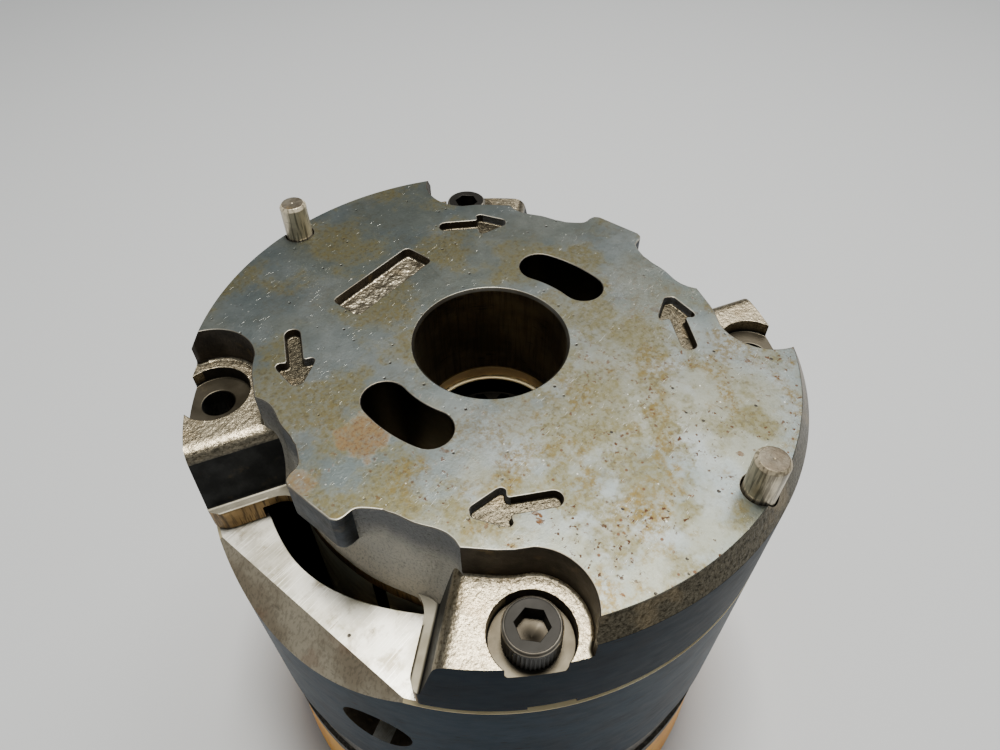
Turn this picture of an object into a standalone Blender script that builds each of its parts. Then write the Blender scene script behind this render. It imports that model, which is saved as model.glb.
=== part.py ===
"""Balanced vane-pump cartridge of the intra-vane kind, standing on its outlet end.

Run with: blender --background --python part.py

Frame: +Z is the shaft axis and points out of the inlet face, and the origin is at the centre
of the base. The two inlet windows lie on +X and -X, and the two dowel pins on +Y and -Y.
Design sizes are in millimetres and are turned into metres as each mesh is made.
"""

import math

import bmesh
import bpy
from mathutils import Matrix, Vector

MM = 0.001
GAP = 0.3                    # clearance between pieces that touch

# Round sizes shared by the stack
FACE_R = 60.0                # ground inlet face
BODY_R = 62.4                # plates and cam ring
BORE_R = 15.4                # shaft clearance in the plates
RECESS_R = 52.5              # seat of a side plate in its support plate

# Heights of the stack, from the base up
STAND_TOP = 30.0
OUTLET_BASE = STAND_TOP + GAP
OUTLET_TOP = 51.0
RING_BASE = OUTLET_TOP + GAP
RING_TOP = 101.4
INLET_BASE = RING_TOP + GAP
TOP = INLET_BASE + 27.6
SIDE_PLATE_T = 3.0
RECESS_DEPTH = SIDE_PLATE_T + GAP

# Fasteners
FASTENER_R = 57.0            # pitch circle of the screws
SCREW_ANGLES = (45.0, 225.0)
HOLE_ANGLES = (45.0, 135.0, 225.0, 315.0)
SCREW_R = 3.0
SCREW_HOLE_R = 3.3
HEAD_R = 4.9
HEAD_H = 5.9
HEAD_TOP = TOP - 5.4
SCREW_END = 36.0
DOWEL_CIRCLE_R = 57.6
DOWEL_ANGLES = (90.0, 270.0)
DOWEL_R = 3.0
DOWEL_HOLE_R = 3.3
DOWEL_TOP = TOP + 8.4
DOWEL_END = 40.0

# Inlet support plate
CHAMFER_DEPTH = 4.2
POCKET_FLOOR = TOP - 8.5
POCKET_R = 9.8               # cast wall round each screw head
POCKET_CENTRE_R = 56.7
COUNTERBORE_R = 7.2
COUNTERBORE_FLOOR = TOP - 11.6
TOOTH_UNDERSIDE = TOP - 9.9
LEDGE_Z = TOP - 22.2
FOOT_TOP = TOP - 21.0        # a window's inner wall is upright below this and spreads above it
SCALLOP_LOW = TOP - 11.0
WINDOW_SIDE_ANGLE = 29.0     # plan angle of a window's side walls
KIDNEY_R = 25.3
KIDNEY_HALF_ANGLE = 13.0
KIDNEY_HALF_WIDTH = 4.45
ARROW_R = 39.0
# Each arrow's plan angle and its heading from there, towards the nearest window
ARROWS = ((45.0, -90.0), (135.0, 98.0), (225.0, -86.0), (315.0, 90.0))
ARROW_DEPTH = 2.0
PANEL_R = 30.0
PANEL_SIZE = (23.0, 7.6)
PANEL_DEPTH = 2.4
NOTCH_WIDTH = 8.6
NOTCH_HEIGHT = 1.8

# Cam ring, rotor and vanes
CAM_MINOR_R = 45.8
CAM_MAJOR_R = 51.6
CAM_MAJOR_ANGLE = 135.0
CAM_MINOR_DWELL = 12.0       # half-angles of the two constant-radius arcs
CAM_MAJOR_DWELL = 31.0
BEVEL_CHORD = 56.4           # where a ring bevel starts, and its fall to the rim
BEVEL_FALL = 6.8
RIM_PORT_R = 7.7
RIM_PORT_Z = TOP - 51.0
RIM_PORT_ANGLES = (16.7, 196.7)
ROTOR_R = 45.0
VANE_COUNT = 10
VANE_PHASE = 9.5             # plan angle of the first vane at rest
VANE_T = 2.6
SLOT_W = 3.2
SLOT_ROOT_R = 27.0           # centre of the round slot bottom
SLOT_ROOT_HOLE_R = 2.9
VANE_INNER_R = 30.4
VANE_TIP_R = 44.7
INSERT_INNER_R = 29.8
INSERT_OUTER_R = 37.7
INSERT_LENGTH = 17.4
SPLINE_TEETH = 14
SPLINE_MINOR_R = 12.4
SPLINE_MAJOR_R = 14.2
ROTOR_MOUTH_R = 14.7         # plain mouth of the rotor's bore
ROTOR_MOUTH_DEPTH = 5.0

# Outlet support plate and its hub
HUB_R = 34.0
HUB_END = 5.0
GROOVE_R = 30.4
GROOVE_LOW = 12.0
GROOVE_HIGH = 17.7
BUSHING_R = 17.3
BUSHING_BORE_R = 14.2
BUSHING_LOW = 9.0
BUSHING_HIGH = 46.0
WELL_INNER_R = 38.0          # discharge well under each pressure port
WELL_OUTER_R = 50.5
WELL_HALF_ANGLE = 15.0
WELL_FLOOR = 38.0
DUCT_TOP = 43.0
PORT_INNER_R = 43.5          # pressure port in the outlet side plate
PASSAGE_R = 24.0             # discharge passages down the hub
PASSAGE_HALF_WIDTH = 3.6

# Face-seal grooves in both support plates
SEAL_INNER_R = 31.0
SEAL_OUTER_R = 34.6
SEAL_GROOVE_DEPTH = 2.4
SEAL_T = 1.8

ROUND_STEPS = 52             # facets round a plate, a small ring, a hole and the cam
RING_STEPS = 36
SMALL_STEPS = 24
CAM_STEPS = 96


# ---------------------------------------------------------------- scene and helpers

for old in list(bpy.data.objects):
    bpy.data.objects.remove(old, do_unlink=True)

parts = bpy.data.collections.new("vane_pump_cartridge")
cutters = bpy.data.collections.new("cutters")
bpy.context.scene.collection.children.link(parts)
bpy.context.scene.collection.children.link(cutters)


def material(name, colour, roughness, metallic):
    made = bpy.data.materials.new(name)
    made.use_nodes = True
    shader = made.node_tree.nodes["Principled BSDF"]
    shader.inputs["Base Color"].default_value = (*colour, 1.0)
    shader.inputs["Roughness"].default_value = roughness
    shader.inputs["Metallic"].default_value = metallic
    return made


MATERIALS = {
    "cast_plate": material("cast_plate", (0.30, 0.29, 0.27), 0.50, 0.9),
    "ring_steel": material("ring_steel", (0.46, 0.46, 0.45), 0.28, 1.0),
    "rotor_steel": material("rotor_steel", (0.40, 0.39, 0.37), 0.35, 1.0),
    "vane_steel": material("vane_steel", (0.50, 0.50, 0.50), 0.22, 1.0),
    "bronze": material("bronze", (0.55, 0.36, 0.16), 0.35, 1.0),
    "black_steel": material("black_steel", (0.06, 0.06, 0.06), 0.45, 0.8),
    "pin_steel": material("pin_steel", (0.36, 0.32, 0.28), 0.35, 1.0),
    "seal_rubber": material("seal_rubber", (0.02, 0.02, 0.02), 0.70, 0.0),
    "backup_plastic": material("backup_plastic", (0.75, 0.72, 0.62), 0.50, 0.0),
    "stand_plastic": material("stand_plastic", (0.86, 0.45, 0.05), 0.45, 0.0),
}


def add(name, mesh, slot=None):
    """A part when it has a material slot, otherwise a cutter."""
    made = bpy.data.objects.new(name, mesh)
    if slot is None:
        cutters.objects.link(made)
        made.hide_render = True
        made.display_type = "WIRE"
    else:
        parts.objects.link(made)
        mesh.materials.append(MATERIALS[slot])
    return made


def turned(name, profile, slot=None, steps=ROUND_STEPS, centre=(0.0, 0.0), closed=True):
    """Turns (radius, height) points about a vertical axis. The points run down the outside.
    A closed profile makes a ring, and an open one starts and ends on the axis."""
    mesh = bpy.data.meshes.new(name)
    points = [(radius * MM, 0.0, height * MM) for radius, height in profile]
    edges = [(i, i + 1) for i in range(len(points) - 1)]
    if closed:
        edges.append((len(points) - 1, 0))
    mesh.from_pydata(points, edges, [])
    made = add(name, mesh, slot)
    made.location = (centre[0] * MM, centre[1] * MM, 0.0)
    screw = made.modifiers.new("turn", "SCREW")
    screw.axis = "Z"
    screw.steps = steps
    screw.render_steps = steps
    screw.use_merge_vertices = True
    screw.merge_threshold = 0.00001
    return made


def prism(name, loops, low, high, slot=None, turn=None):
    """A flat outline, with holes where loops nest, between two heights. turn places it."""
    curve = bpy.data.curves.new(name, "CURVE")
    curve.dimensions = "2D"
    curve.fill_mode = "BOTH"
    curve.extrude = (high - low) / 2 * MM
    for loop in loops:
        spline = curve.splines.new("POLY")
        spline.points.add(len(loop) - 1)
        for point, (x, y) in zip(spline.points, loop):
            point.co = (x * MM, y * MM, 0.0, 1.0)
        spline.use_cyclic_u = True
    guide = bpy.data.objects.new(name + "_outline", curve)
    cutters.objects.link(guide)
    guide.location = (0.0, 0.0, (low + high) / 2 * MM)
    bpy.context.view_layer.update()
    solid = guide.evaluated_get(bpy.context.evaluated_depsgraph_get())
    mesh = bpy.data.meshes.new_from_object(solid)
    place = guide.matrix_world.copy()
    bpy.data.objects.remove(guide, do_unlink=True)
    mesh.transform(place)
    shape = bmesh.new()
    shape.from_mesh(mesh)
    bmesh.ops.remove_doubles(shape, verts=shape.verts, dist=0.000001)
    bmesh.ops.recalc_face_normals(shape, faces=shape.faces)
    shape.to_mesh(mesh)
    shape.free()
    made = add(name, mesh, slot)
    if turn is not None:
        made.matrix_world = turn
    return made


def boolean(target, tool, operation="DIFFERENCE"):
    step = target.modifiers.new(tool.name, "BOOLEAN")
    step.object = tool
    step.operation = operation
    step.solver = "EXACT"


def polar(radius, degrees):
    angle = math.radians(degrees)
    return radius * math.cos(angle), radius * math.sin(angle)


def arc(centre, radius, start, end, steps):
    """Points on an arc, both ends included, angles in degrees."""
    points = []
    for i in range(steps + 1):
        x, y = polar(radius, start + (end - start) * i / steps)
        points.append((centre[0] + x, centre[1] + y))
    return points


def circle(centre, radius, steps=SMALL_STEPS):
    return arc(centre, radius, 0.0, 360.0, steps)[:-1]


def turned_by(points, degrees):
    angle = math.radians(degrees)
    c, s = math.cos(angle), math.sin(angle)
    return [(x * c - y * s, x * s + y * c) for x, y in points]


def mirrored_y(points):
    return [(x, -y) for x, y in reversed(points)]


def kidney(radius, half_angle, half_width, steps=6):
    """A curved slot with round ends, on +X."""
    outer = arc((0, 0), radius + half_width, -half_angle, half_angle, steps)
    inner = arc((0, 0), radius - half_width, half_angle, -half_angle, steps)
    high_end = arc(polar(radius, half_angle), half_width, half_angle, half_angle + 180, steps)
    low_end = arc(polar(radius, -half_angle), half_width, 180 - half_angle, 360 - half_angle, steps)
    return outer + high_end[1:-1] + inner + low_end[1:-1]


def sector(inner, outer, half_angle, steps=8):
    """A piece of an annulus, centred on +X."""
    return (arc((0, 0), outer, -half_angle, half_angle, steps)
            + arc((0, 0), inner, half_angle, -half_angle, steps))


def drill(target, name, places, radius, low, high):
    """Round holes at (x, y) places, cut by one tool."""
    tool = prism(name, [circle(place, radius) for place in places], low, high)
    boolean(target, tool)


# ---------------------------------------------------------------- window and pocket outlines

# Half of a window's inner edge at the top face, from its middle to the cusp where the screw
# pocket begins, and the same points at its foot, which covers the rotor
SCALLOP = [(42.0, 2.6), (42.0, 6.8), (42.0, 10.8), (41.3, 13.2), (40.6, 16.6), (39.3, 19.8),
           (38.8, 21.9), (38.9, 23.7)]
CUSP = (39.4, 25.3)
SIDE_START = (40.6, 26.2)
FOOT = [(45.1, 2.6), (44.7, 6.8), (43.9, 10.8), (43.2, 13.3), (42.4, 16.2), (41.6, 18.9),
        (41.6, 20.6), (41.2, 22.6)]
FOOT_CUSP = (40.8, 24.6)
# Half of the tooth that hangs over the middle of a window
TOOTH = [(38.0, 10.8), (42.0, 10.8), (43.2, 8.8), (44.7, 7.1), (46.8, 6.8), (48.0, 6.3), (48.6, 5.2)]


def window_outline(edge, cusp):
    side = math.radians(WINDOW_SIDE_ANGLE)
    reach = 45.0
    side_end = (SIDE_START[0] + reach * math.cos(side), SIDE_START[1] + reach * math.sin(side))
    half = edge + [cusp, SIDE_START, side_end]
    return mirrored_y(half) + half


def pocket_outline():
    """The pocket of the screw at 45 degrees: a round wall that runs on to the cusp."""
    screw = polar(POCKET_CENTRE_R, 45.0)
    past_cusp = (41.0, 23.0)
    wall = arc(screw, POCKET_R, 215.7, 110.0, 10)
    outside = [(wall[-1][0] * 1.3, wall[-1][1] * 1.3), (75.0, 75.0), (80.0, 40.0)]
    return [past_cusp, CUSP, (36.3, 30.0), (34.5, 32.2)] + wall + outside


def at_each_quarter(points):
    """A +X +Y outline and its three mirror images."""
    left = [(-x, y) for x, y in reversed(points)]
    return [points, left, mirrored_y(points), mirrored_y(left)]


def lofted(name, levels, sides=(1, -1)):
    """A solid skinned through (height, outline) levels, with a copy turned to each side in X."""
    mesh = bpy.data.meshes.new(name)
    points, faces = [], []
    for side in sides:
        rows = []
        for height, outline in levels:
            rows.append(range(len(points), len(points) + len(outline)))
            points += [(side * x * MM, side * y * MM, height * MM) for x, y in outline]
        faces += [list(reversed(rows[0])), list(rows[-1])]
        for low, high in zip(rows, rows[1:]):
            ahead = list(zip(low, high))
            for (a, b), (c, d) in zip(ahead, ahead[1:] + ahead[:1]):
                faces.append((a, c, d, b))
    mesh.from_pydata(points, [], faces)
    shape = bmesh.new()
    shape.from_mesh(mesh)
    bmesh.ops.triangulate(shape, faces=shape.faces)
    bmesh.ops.recalc_face_normals(shape, faces=shape.faces)
    shape.to_mesh(mesh)
    shape.free()
    return add(name, mesh)


def window_tool(name, low, high, with_walls=True):
    """The space of both inlet windows: open through, narrower at the foot of its side walls,
    and with the tooth left standing over its inner edge."""
    foot, scallop = window_outline(FOOT, FOOT_CUSP), window_outline(SCALLOP, CUSP)
    if not with_walls:
        return lofted(name, [(low, foot), (high, foot)])
    tool = lofted(name, [(low, foot), (FOOT_TOP, foot), (SCALLOP_LOW, scallop), (high, scallop)])
    flank = [(-4.4, low - 5), (-4.1, LEDGE_Z), (-1.7, LEDGE_Z), (1.1, POCKET_FLOOR - 2.6),
             (3.2, POCKET_FLOOR), (12.0, POCKET_FLOOR), (12.0, low - 5)]
    for i, angle in enumerate((WINDOW_SIDE_ANGLE, 180 + WINDOW_SIDE_ANGLE,
                               -WINDOW_SIDE_ANGLE, 180 - WINDOW_SIDE_ANGLE)):
        flip = 1 if i < 2 else -1
        section = [(flip * n, z) for n, z in flank]
        along = Vector((math.cos(math.radians(angle)), math.sin(math.radians(angle)), 0.0))
        across = Vector((-along.y, along.x, 0.0))
        place = Matrix((
            (across.x, 0.0, along.x, 0.0),
            (across.y, 0.0, along.y, 0.0),
            (0.0, 1.0, 0.0, 0.0),
            (0.0, 0.0, 0.0, 1.0)))
        boolean(tool, prism(f"{name}_flank_{i + 1}", [section], 20.0, 110.0, turn=place))
    tooth = TOOTH + mirrored_y(TOOTH)
    teeth = [tooth, [(-x, y) for x, y in reversed(tooth)]]
    boolean(tool, prism(f"{name}_tooth", teeth, TOOTH_UNDERSIDE, high + 5))
    return tool


# ---------------------------------------------------------------- inlet support plate

def arrow_outline():
    """A plain arrow along +X, centred, with a round tail and a blunt tip."""
    half_shaft, half_head, tip, neck = 1.55, 3.8, 7.8, 1.5
    tail = arc((-tip + half_shaft, 0.0), half_shaft, 90.0, 270.0, 6)
    barb = [(neck, -half_shaft), (neck - 0.2, -half_head + 0.5), (neck + 0.5, -half_head),
            (neck + 1.4, -half_head + 0.3), (tip, -0.9)]
    return tail + barb + mirrored_y(barb)


def rounded_box(half_x, half_y, radius):
    points = []
    for start, sx, sy in ((0, 1, 1), (90, -1, 1), (180, -1, -1), (270, 1, -1)):
        corner = (sx * (half_x - radius), sy * (half_y - radius))
        points += arc(corner, radius, start, start + 90, 3)
    return points


def inlet_support_plate():
    ceiling = INLET_BASE + RECESS_DEPTH
    groove_top = ceiling + SEAL_GROOVE_DEPTH
    plate = turned("inlet_support_plate", [
        (FACE_R, TOP), (BODY_R, TOP - CHAMFER_DEPTH), (BODY_R, INLET_BASE + 0.5),
        (BODY_R - 0.5, INLET_BASE), (RECESS_R, INLET_BASE), (RECESS_R, ceiling),
        (SEAL_OUTER_R, ceiling), (SEAL_OUTER_R, groove_top), (SEAL_INNER_R, groove_top),
        (SEAL_INNER_R, ceiling), (BORE_R, ceiling), (BORE_R, TOP - 0.6), (BORE_R + 0.6, TOP)],
        "cast_plate")
    boolean(plate, window_tool("windows", INLET_BASE - 8, TOP + 5))
    boolean(plate, prism("pockets", at_each_quarter(pocket_outline()), POCKET_FLOOR, TOP + 5))
    screws = [polar(FASTENER_R, angle) for angle in HOLE_ANGLES]
    boolean(plate, prism("counterbores", [circle(p, COUNTERBORE_R, 32) for p in screws],
                         COUNTERBORE_FLOOR, POCKET_FLOOR + 3))
    drill(plate, "inlet_screw_holes", screws, SCREW_HOLE_R, INLET_BASE - 5, COUNTERBORE_FLOOR + 3)
    dowels = [polar(DOWEL_CIRCLE_R, angle) for angle in DOWEL_ANGLES]
    drill(plate, "inlet_dowel_holes", dowels, DOWEL_HOLE_R, INLET_BASE - 5, TOP + 5)
    slots = [kidney(KIDNEY_R, KIDNEY_HALF_ANGLE, KIDNEY_HALF_WIDTH)]
    slots.append(turned_by(slots[0], 180.0))
    boolean(plate, prism("inlet_kidneys", slots, INLET_BASE - 5, TOP + 5))
    arrows = []
    for angle, heading in ARROWS:
        centre = polar(ARROW_R, angle)
        arrows.append([(centre[0] + x, centre[1] + y)
                       for x, y in turned_by(arrow_outline(), angle + heading)])
    panel = [(x, y + PANEL_R) for x, y in rounded_box(PANEL_SIZE[0] / 2, PANEL_SIZE[1] / 2, 1.2)]
    boolean(plate, prism("arrows", arrows, TOP - ARROW_DEPTH, TOP + 5))
    boolean(plate, prism("panel", [panel], TOP - PANEL_DEPTH, TOP + 5))
    # The foot of each window side rounds off into the rim
    corner = [(52.9, 24.2), (54.7, 26.0), (55.6, 27.8), (55.4, 29.6), (60.0, 33.0), (66.0, 26.0),
              (58.0, 21.0)]
    boolean(plate, prism("foot_corners", at_each_quarter(corner), INLET_BASE - 5, LEDGE_Z + 0.2))
    # A pry notch under each fitted screw
    inner, outer, half_width = BODY_R - 3.0, BODY_R + 5.0, NOTCH_WIDTH / 2
    notch = [(inner, -half_width), (outer, -half_width), (outer, half_width), (inner, half_width)]
    notches = [turned_by(notch, angle + 3.0) for angle in SCREW_ANGLES]
    boolean(plate, prism("pry_notches", notches, INLET_BASE - 5, INLET_BASE + NOTCH_HEIGHT))


# ---------------------------------------------------------------- cam ring

def cam_radius(degrees):
    """Two equal lobes: flat at the major and minor radii, with a smooth ramp between."""
    from_minor = abs((degrees - CAM_MAJOR_ANGLE) % 180.0 - 90.0)
    from_minor = min(from_minor, 90.0)
    share = (from_minor - CAM_MINOR_DWELL) / (90.0 - CAM_MINOR_DWELL - CAM_MAJOR_DWELL)
    share = min(max(share, 0.0), 1.0)
    return CAM_MINOR_R + (CAM_MAJOR_R - CAM_MINOR_R) * share * share * (3 - 2 * share)


def cam_ring():
    ring = turned("cam_ring", [
        (BODY_R - 0.6, RING_TOP), (BODY_R, RING_TOP - 0.6), (BODY_R, RING_BASE + 0.6),
        (BODY_R - 0.6, RING_BASE), (CAM_MINOR_R - 5, RING_BASE), (CAM_MINOR_R - 5, RING_TOP)],
        "ring_steel")
    bore = [polar(cam_radius(i * 360 / CAM_STEPS), i * 360 / CAM_STEPS) for i in range(CAM_STEPS)]
    boolean(ring, prism("cam_bore", [bore], RING_BASE - 5, RING_TOP + 5))
    screws = [polar(FASTENER_R, angle) for angle in SCREW_ANGLES]
    drill(ring, "ring_screw_holes", screws, SCREW_HOLE_R, RING_BASE - 5, RING_TOP + 5)
    dowels = [polar(DOWEL_CIRCLE_R, angle) for angle in DOWEL_ANGLES]
    drill(ring, "ring_dowel_holes", dowels, DOWEL_HOLE_R, RING_BASE - 5, RING_TOP + 5)
    # A flat bevel faces each inlet window
    upright = Matrix.Rotation(math.radians(90), 4, "X")
    run = BODY_R - BEVEL_CHORD
    bevel = [(BEVEL_CHORD - run, RING_TOP + BEVEL_FALL), (BODY_R + run, RING_TOP - 2 * BEVEL_FALL),
             (BODY_R + run, RING_TOP + BEVEL_FALL)]
    other = [(-x, z) for x, z in reversed(bevel)]
    boolean(ring, prism("ring_bevels", [bevel, other], -70.0, 70.0, turn=upright))
    # A round port leads in through the rim beside each window
    for i, angle in enumerate(RIM_PORT_ANGLES):
        place = (Matrix.Rotation(math.radians(angle), 4, "Z")
                 @ Matrix.Translation((0.0, 0.0, RIM_PORT_Z * MM))
                 @ Matrix.Rotation(math.radians(90), 4, "Y"))
        boolean(ring, prism(f"rim_port_{i + 1}", [circle((0, 0), RIM_PORT_R)],
                            CAM_MINOR_R - 6, BODY_R + 6, turn=place))


# ---------------------------------------------------------------- side plates and face seals

def side_plate(name, low, cut_windows):
    plate = turned(name, [
        (RECESS_R - GAP, low + SIDE_PLATE_T), (RECESS_R - GAP, low), (BORE_R, low),
        (BORE_R, low + SIDE_PLATE_T)], "bronze")
    high = low + SIDE_PLATE_T + 3
    turn = 0.0 if cut_windows else 90.0
    slots = [turned_by(kidney(KIDNEY_R, KIDNEY_HALF_ANGLE, KIDNEY_HALF_WIDTH), turn + half)
             for half in (0.0, 180.0)]
    if cut_windows:
        boolean(plate, window_tool(name + "_windows", low - 3, high, with_walls=False))
    else:
        port = sector(PORT_INNER_R, WELL_OUTER_R, WELL_HALF_ANGLE)
        slots += [turned_by(port, turn + half) for half in (0.0, 180.0)]
    boolean(plate, prism(name + "_ports", slots, low - 3, high))


def face_seal(name, low):
    turned(name, [
        (SEAL_OUTER_R - GAP, low + SEAL_T), (SEAL_OUTER_R - GAP, low), (SEAL_INNER_R + GAP, low),
        (SEAL_INNER_R + GAP, low + SEAL_T)], "seal_rubber", steps=RING_STEPS)


# ---------------------------------------------------------------- outlet support plate

def outlet_support_plate():
    floor = OUTLET_TOP - RECESS_DEPTH
    groove_floor = floor - SEAL_GROOVE_DEPTH
    plate = turned("outlet_support_plate", [
        (BODY_R - 1.2, OUTLET_TOP),
        (BODY_R - 1.2, OUTLET_BASE + 6.5), (BODY_R - 0.2, OUTLET_BASE + 5.5),
        (BODY_R - 0.2, OUTLET_BASE), (HUB_R, OUTLET_BASE),
        (HUB_R, GROOVE_HIGH), (GROOVE_R, GROOVE_HIGH), (GROOVE_R, GROOVE_LOW), (HUB_R, GROOVE_LOW),
        (HUB_R, HUB_END + 1.5), (HUB_R - 1.5, HUB_END), (BUSHING_R, HUB_END), (BUSHING_R, floor),
        (SEAL_INNER_R, floor), (SEAL_INNER_R, groove_floor), (SEAL_OUTER_R, groove_floor),
        (SEAL_OUTER_R, floor), (RECESS_R, floor), (RECESS_R, OUTLET_TOP)],
        "cast_plate")
    # The discharge path: a well under each pressure port, led inwards to a passage down the hub
    well = sector(WELL_INNER_R, WELL_OUTER_R, WELL_HALF_ANGLE)
    duct = sector(PASSAGE_R, WELL_INNER_R + 2.0, WELL_HALF_ANGLE - 4.0)
    passage = kidney(PASSAGE_R, KIDNEY_HALF_ANGLE, PASSAGE_HALF_WIDTH)
    wells = [turned_by(well, angle) for angle in DOWEL_ANGLES]
    ducts = [turned_by(duct, angle) for angle in DOWEL_ANGLES]
    passages = [turned_by(passage, angle) for angle in DOWEL_ANGLES]
    boolean(plate, prism("discharge_wells", wells, WELL_FLOOR, OUTLET_TOP + 3))
    boolean(plate, prism("discharge_ducts", ducts, WELL_FLOOR + 0.5, DUCT_TOP))
    boolean(plate, prism("hub_passages", passages, HUB_END - 5, OUTLET_TOP + 3))
    screws = [polar(FASTENER_R, angle) for angle in SCREW_ANGLES]
    drill(plate, "outlet_screw_holes", screws, SCREW_HOLE_R, SCREW_END - GAP, OUTLET_TOP + 5)
    dowels = [polar(DOWEL_CIRCLE_R, angle) for angle in DOWEL_ANGLES]
    drill(plate, "outlet_dowel_holes", dowels, DOWEL_HOLE_R, DOWEL_END - GAP, OUTLET_TOP + 5)


def hub_fittings():
    turned("outlet_bushing", [
        (BUSHING_R - GAP, BUSHING_HIGH), (BUSHING_R - GAP, BUSHING_LOW),
        (BUSHING_BORE_R, BUSHING_LOW), (BUSHING_BORE_R, BUSHING_HIGH)], "bronze", steps=RING_STEPS)
    turned("hub_seal_ring", [
        (HUB_R + 0.4, GROOVE_LOW + 2.6), (HUB_R + 0.4, GROOVE_LOW + 0.9),
        (HUB_R - 0.6, GROOVE_LOW + GAP), (GROOVE_R + GAP, GROOVE_LOW + GAP),
        (GROOVE_R + GAP, GROOVE_LOW + 3.3), (HUB_R - 0.6, GROOVE_LOW + 3.3)],
        "seal_rubber", steps=RING_STEPS)
    turned("hub_backup_ring", [
        (HUB_R - 0.1, GROOVE_HIGH - GAP), (HUB_R - 0.1, GROOVE_LOW + 3.7),
        (GROOVE_R + GAP, GROOVE_LOW + 3.7), (GROOVE_R + GAP, GROOVE_HIGH - GAP)],
        "backup_plastic", steps=RING_STEPS)


def stand_ring():
    """The moulded ring that the cartridge stands in, its hub inside the ring."""
    turned("stand_ring", [
        (BODY_R - 1.2, STAND_TOP), (BODY_R - 0.4, STAND_TOP - 0.8), (BODY_R + 0.8, 3.0),
        (BODY_R + 0.8, 1.0), (BODY_R - 0.2, 0.0), (HUB_R + 3.0, 0.0), (HUB_R + 1.0, 2.0),
        (HUB_R + 1.0, STAND_TOP)], "stand_plastic")


# ---------------------------------------------------------------- fasteners

def dowel_pin(name, angle):
    chamfer = 0.5
    turned(name, [
        (0.0, DOWEL_TOP), (DOWEL_R - chamfer, DOWEL_TOP), (DOWEL_R, DOWEL_TOP - chamfer),
        (DOWEL_R, DOWEL_END + chamfer), (DOWEL_R - chamfer, DOWEL_END), (0.0, DOWEL_END)],
        "pin_steel", steps=SMALL_STEPS, centre=polar(DOWEL_CIRCLE_R, angle), closed=False)


def cap_screw(name, angle):
    under_head = HEAD_TOP - HEAD_H
    centre = polar(FASTENER_R, angle)
    screw = turned(name, [
        (0.0, HEAD_TOP), (HEAD_R - 0.5, HEAD_TOP), (HEAD_R, HEAD_TOP - 0.5), (HEAD_R, under_head),
        (SCREW_R, under_head), (SCREW_R, SCREW_END + 0.8), (SCREW_R - 0.8, SCREW_END), (0.0, SCREW_END)],
        "black_steel", steps=SMALL_STEPS, centre=centre, closed=False)
    across_flats, depth = 5.0, 3.4
    hexagon = circle(centre, across_flats / 2 / math.cos(math.radians(30)), 6)
    boolean(screw, prism(name + "_socket", [hexagon], HEAD_TOP - depth, HEAD_TOP + 3))


# ---------------------------------------------------------------- rotor, vanes and inserts

def rotor():
    """A slotted drum with a splined bore. Each slot ends in a round under-vane passage."""
    pitch = 360.0 / VANE_COUNT
    mouth = math.degrees(math.asin(SLOT_W / 2 / ROTOR_R))
    neck = math.degrees(math.asin(SLOT_W / 2 / SLOT_ROOT_HOLE_R))
    outline = []
    for i in range(VANE_COUNT):
        slot = [(ROTOR_R * math.cos(math.radians(mouth)), -SLOT_W / 2)]
        slot += arc((SLOT_ROOT_R, 0.0), SLOT_ROOT_HOLE_R, -neck, neck - 360.0, 10)
        slot.append((slot[0][0], SLOT_W / 2))
        outline += turned_by(slot, VANE_PHASE + i * pitch)
        land = VANE_PHASE + i * pitch
        outline += arc((0, 0), ROTOR_R, land + mouth, land + pitch - mouth, 6)[1:-1]
    spline = []
    tooth = 360.0 / SPLINE_TEETH
    for i in range(SPLINE_TEETH):
        for share, radius in ((-0.32, SPLINE_MINOR_R), (-0.15, SPLINE_MAJOR_R),
                              (0.15, SPLINE_MAJOR_R), (0.32, SPLINE_MINOR_R)):
            spline.append(polar(radius, (i + share) * tooth))
    drum = prism("rotor", [outline, spline], RING_BASE, RING_TOP, "rotor_steel")
    drill(drum, "rotor_mouth", [(0.0, 0.0)], ROTOR_MOUTH_R, RING_TOP - ROTOR_MOUTH_DEPTH, RING_TOP + 3)


def vane_and_insert(number, angle):
    """A vane, notched at its inner edge, and the small insert that stays in the slot."""
    middle = (RING_BASE + RING_TOP) / 2
    half_notch = INSERT_LENGTH / 2 + GAP
    # Drawn as (radius, height) and thickened across the slot
    spin = Matrix.Rotation(math.radians(angle), 4, "Z")
    place = spin @ Matrix.Rotation(math.radians(90), 4, "X")
    outline = [
        (VANE_INNER_R, RING_BASE), (VANE_TIP_R, RING_BASE), (VANE_TIP_R, RING_TOP),
        (VANE_INNER_R, RING_TOP), (VANE_INNER_R, middle + half_notch),
        (INSERT_OUTER_R + 2 * GAP, middle + half_notch),
        (INSERT_OUTER_R + 2 * GAP, middle - half_notch), (VANE_INNER_R, middle - half_notch)]
    vane = prism(f"vane_{number:02d}", [outline], -VANE_T / 2, VANE_T / 2, "vane_steel", turn=place)
    # The trailing side of the tip is ground away
    shape = bmesh.new()
    shape.from_mesh(vane.data)
    tip = [edge for edge in shape.edges
           if all(v.co.x > (VANE_TIP_R - 0.1) * MM and v.co.z < 0 for v in edge.verts)]
    bmesh.ops.bevel(shape, geom=tip, offset=1.1 * MM, segments=1, affect="EDGES")
    shape.to_mesh(vane.data)
    shape.free()
    outline = [
        (INSERT_INNER_R, middle - INSERT_LENGTH / 2), (INSERT_OUTER_R, middle - INSERT_LENGTH / 2),
        (INSERT_OUTER_R, middle + INSERT_LENGTH / 2), (INSERT_INNER_R, middle + INSERT_LENGTH / 2)]
    prism(f"vane_insert_{number:02d}", [outline], -VANE_T / 2, VANE_T / 2, "vane_steel", turn=place)


# ---------------------------------------------------------------- the cartridge

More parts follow.
